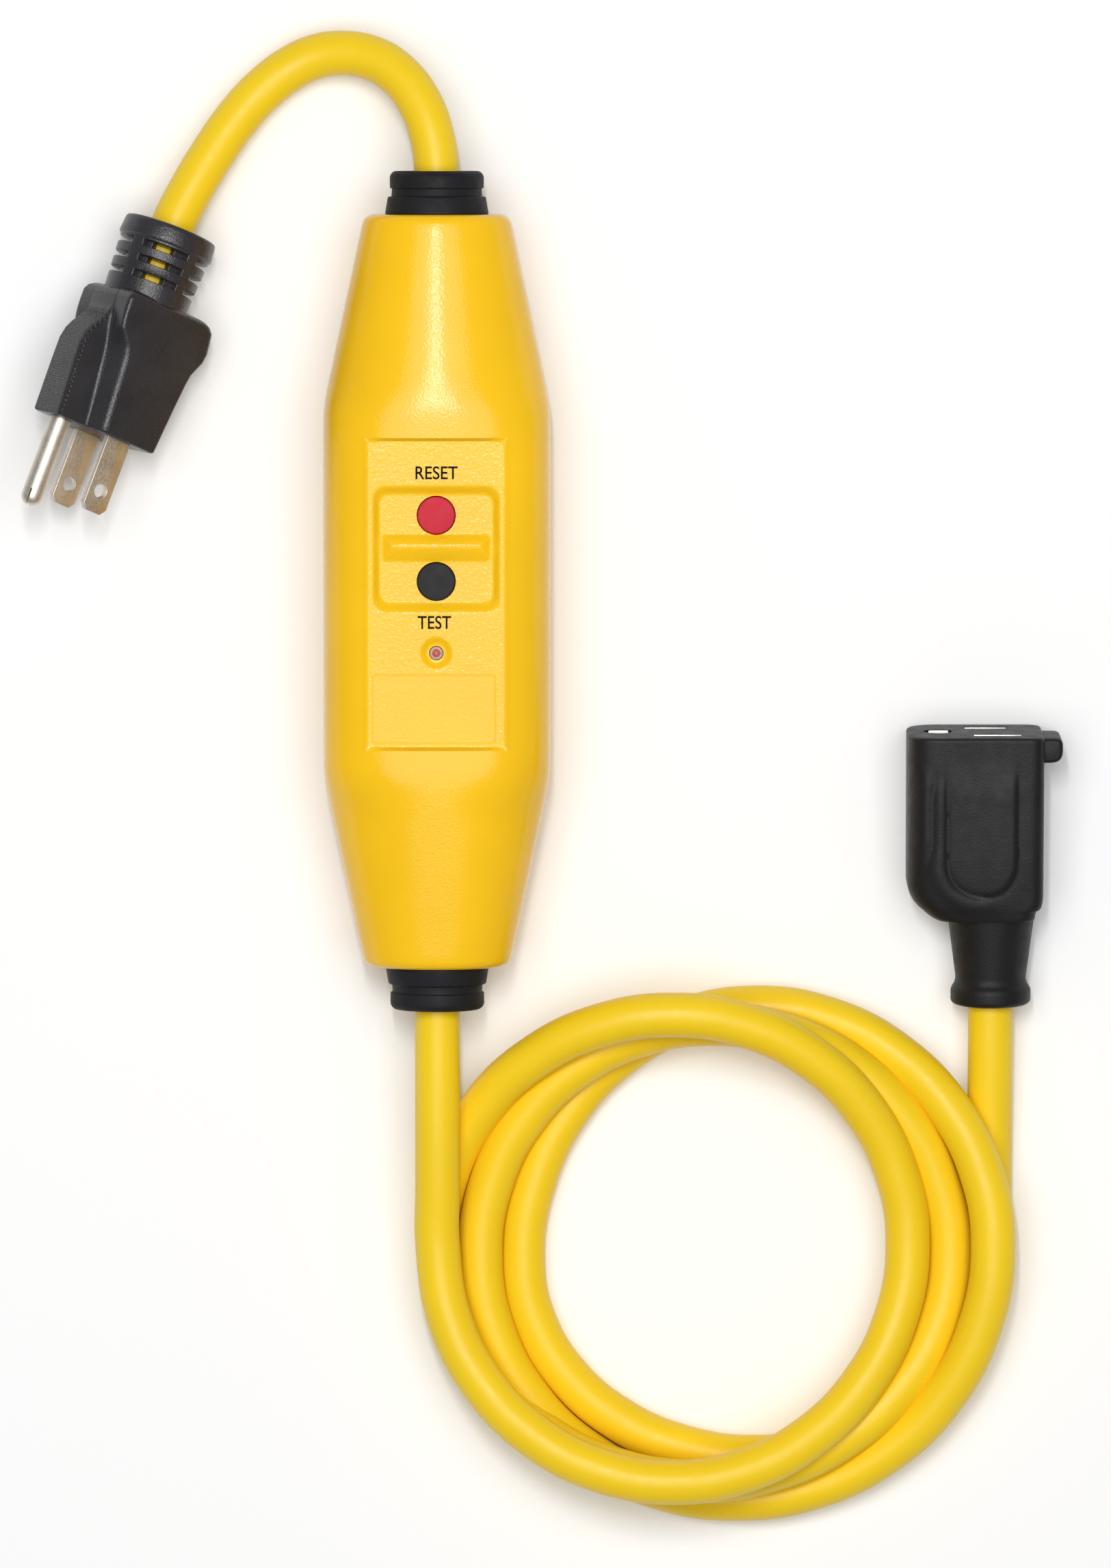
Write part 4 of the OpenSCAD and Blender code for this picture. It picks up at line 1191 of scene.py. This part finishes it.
def connector_tab():
    """The small rounded tab on the side away from the ground hole."""
    outline = round_corners([(9, 55.2), (15.5, 55.2), (15.5, 60.7), (9, 60.7)], [0, 2.6, 1.6, 0], 5)
    rings = [[(x, y, z) for x, z in outline] for y in steps(-6.5, 8.5, 4)]
    return bevel(loft("tab", rings, CONNECTOR), 0.8, 3, 40)


SLOT_HALF = 1.5
SLOT_SPANS = [(-1, -6, 3.6), (1, -4.4, 6.6)]        # side, and the slot's two ends


def make_leaves():
    """The bright spring leaves along the lower walls of the connector's openings."""
    made = []
    low, high = CONNECTOR_LENGTH - 9, CONNECTOR_LENGTH - 0.12
    spans = [(s * BLADE_SPACING / 2 - SLOT_HALF, x0, x1) for s, x0, x1 in SLOT_SPANS]
    spans.append((-2.7, -2.6 - GROUND_OFFSET, 2.4 - GROUND_OFFSET))
    for index, (floor, x0, x1) in enumerate(spans):
        start, end = (x0 + 0.1, floor - 0.05, low), (x1 - 0.1, floor + 0.4, high)
        leaf = block(f"contact_leaf_{index + 1}", start, end, CONNECTOR)
        made.append(place(bevel(leaf, 0.1, 2), "root", "leaf", slot="brass"))
    return made


def connector_holes():
    """The ground opening and the two slots, as cutters."""
    top = CONNECTOR_LENGTH + 1
    cutters = [block("slot", (x0, s * BLADE_SPACING / 2 - SLOT_HALF, top - 12),
                     (x1, s * BLADE_SPACING / 2 + SLOT_HALF, top), CONNECTOR) for s, x0, x1 in SLOT_SPANS]
    outline = round_corners([(-3.4, -2.2), (3.0, -3.3), (3.0, 3.3), (-3.4, 2.2)], 2.6, 6)
    rings = [[(x - GROUND_OFFSET, y, z) for x, y in outline] for z in (top - 12, top)]
    return [*cutters, loft("ground", rings, CONNECTOR)]


# ---- Stage ----


def make_floor():
    shader = Shader("floor_white")
    material = shader.finish(Base_Color=shader.mottled((1, 1, 1), 120, 3, 0.982, 0.988), Roughness=0.9)
    half = 4000
    points = [(-half, -half, 0), (half, -half, 0), (half, half, 0), (-half, half, 0)]
    floor = solid("floor", points, [(0, 1, 2, 3)])
    floor.data.materials.append(material)


def area_light(name, place, target, size, power):
    data = bpy.data.lights.new(name, "AREA")
    data.shape = "RECTANGLE"
    data.size, data.size_y = size[0] * MM, size[1] * MM
    data.energy = power
    lamp = bpy.data.objects.new(name, data)
    lamp.location = Vector(place) * MM
    lamp.rotation_euler = (Vector(target) - Vector(place)).to_track_quat("-Z", "Y").to_euler()
    bpy.context.scene.collection.objects.link(lamp)


def make_light():
    world = bpy.data.worlds.new("studio")
    bpy.context.scene.world = world
    world.use_nodes = True
    world.node_tree.nodes["Background"].inputs["Color"].default_value = (1, 1, 1, 1)
    world.node_tree.nodes["Background"].inputs["Strength"].default_value = 0.18
    target = (30, -40, 0)
    area_light("overhead", (30, 80, 1700), target, (1500, 1300), 22.5)
    area_light("strip", (-25, 330, 1500), (0, 50, 30), (50, 380), 5)
    bpy.context.scene.view_settings.view_transform = "Standard"


make_camera()
dress_cad_nodes()
make_cords()
make_front_cover()
make_rear_cover()
make_glands()
make_buttons()
make_lamp()
make_label()
make_lettering()
make_floor()
make_light()
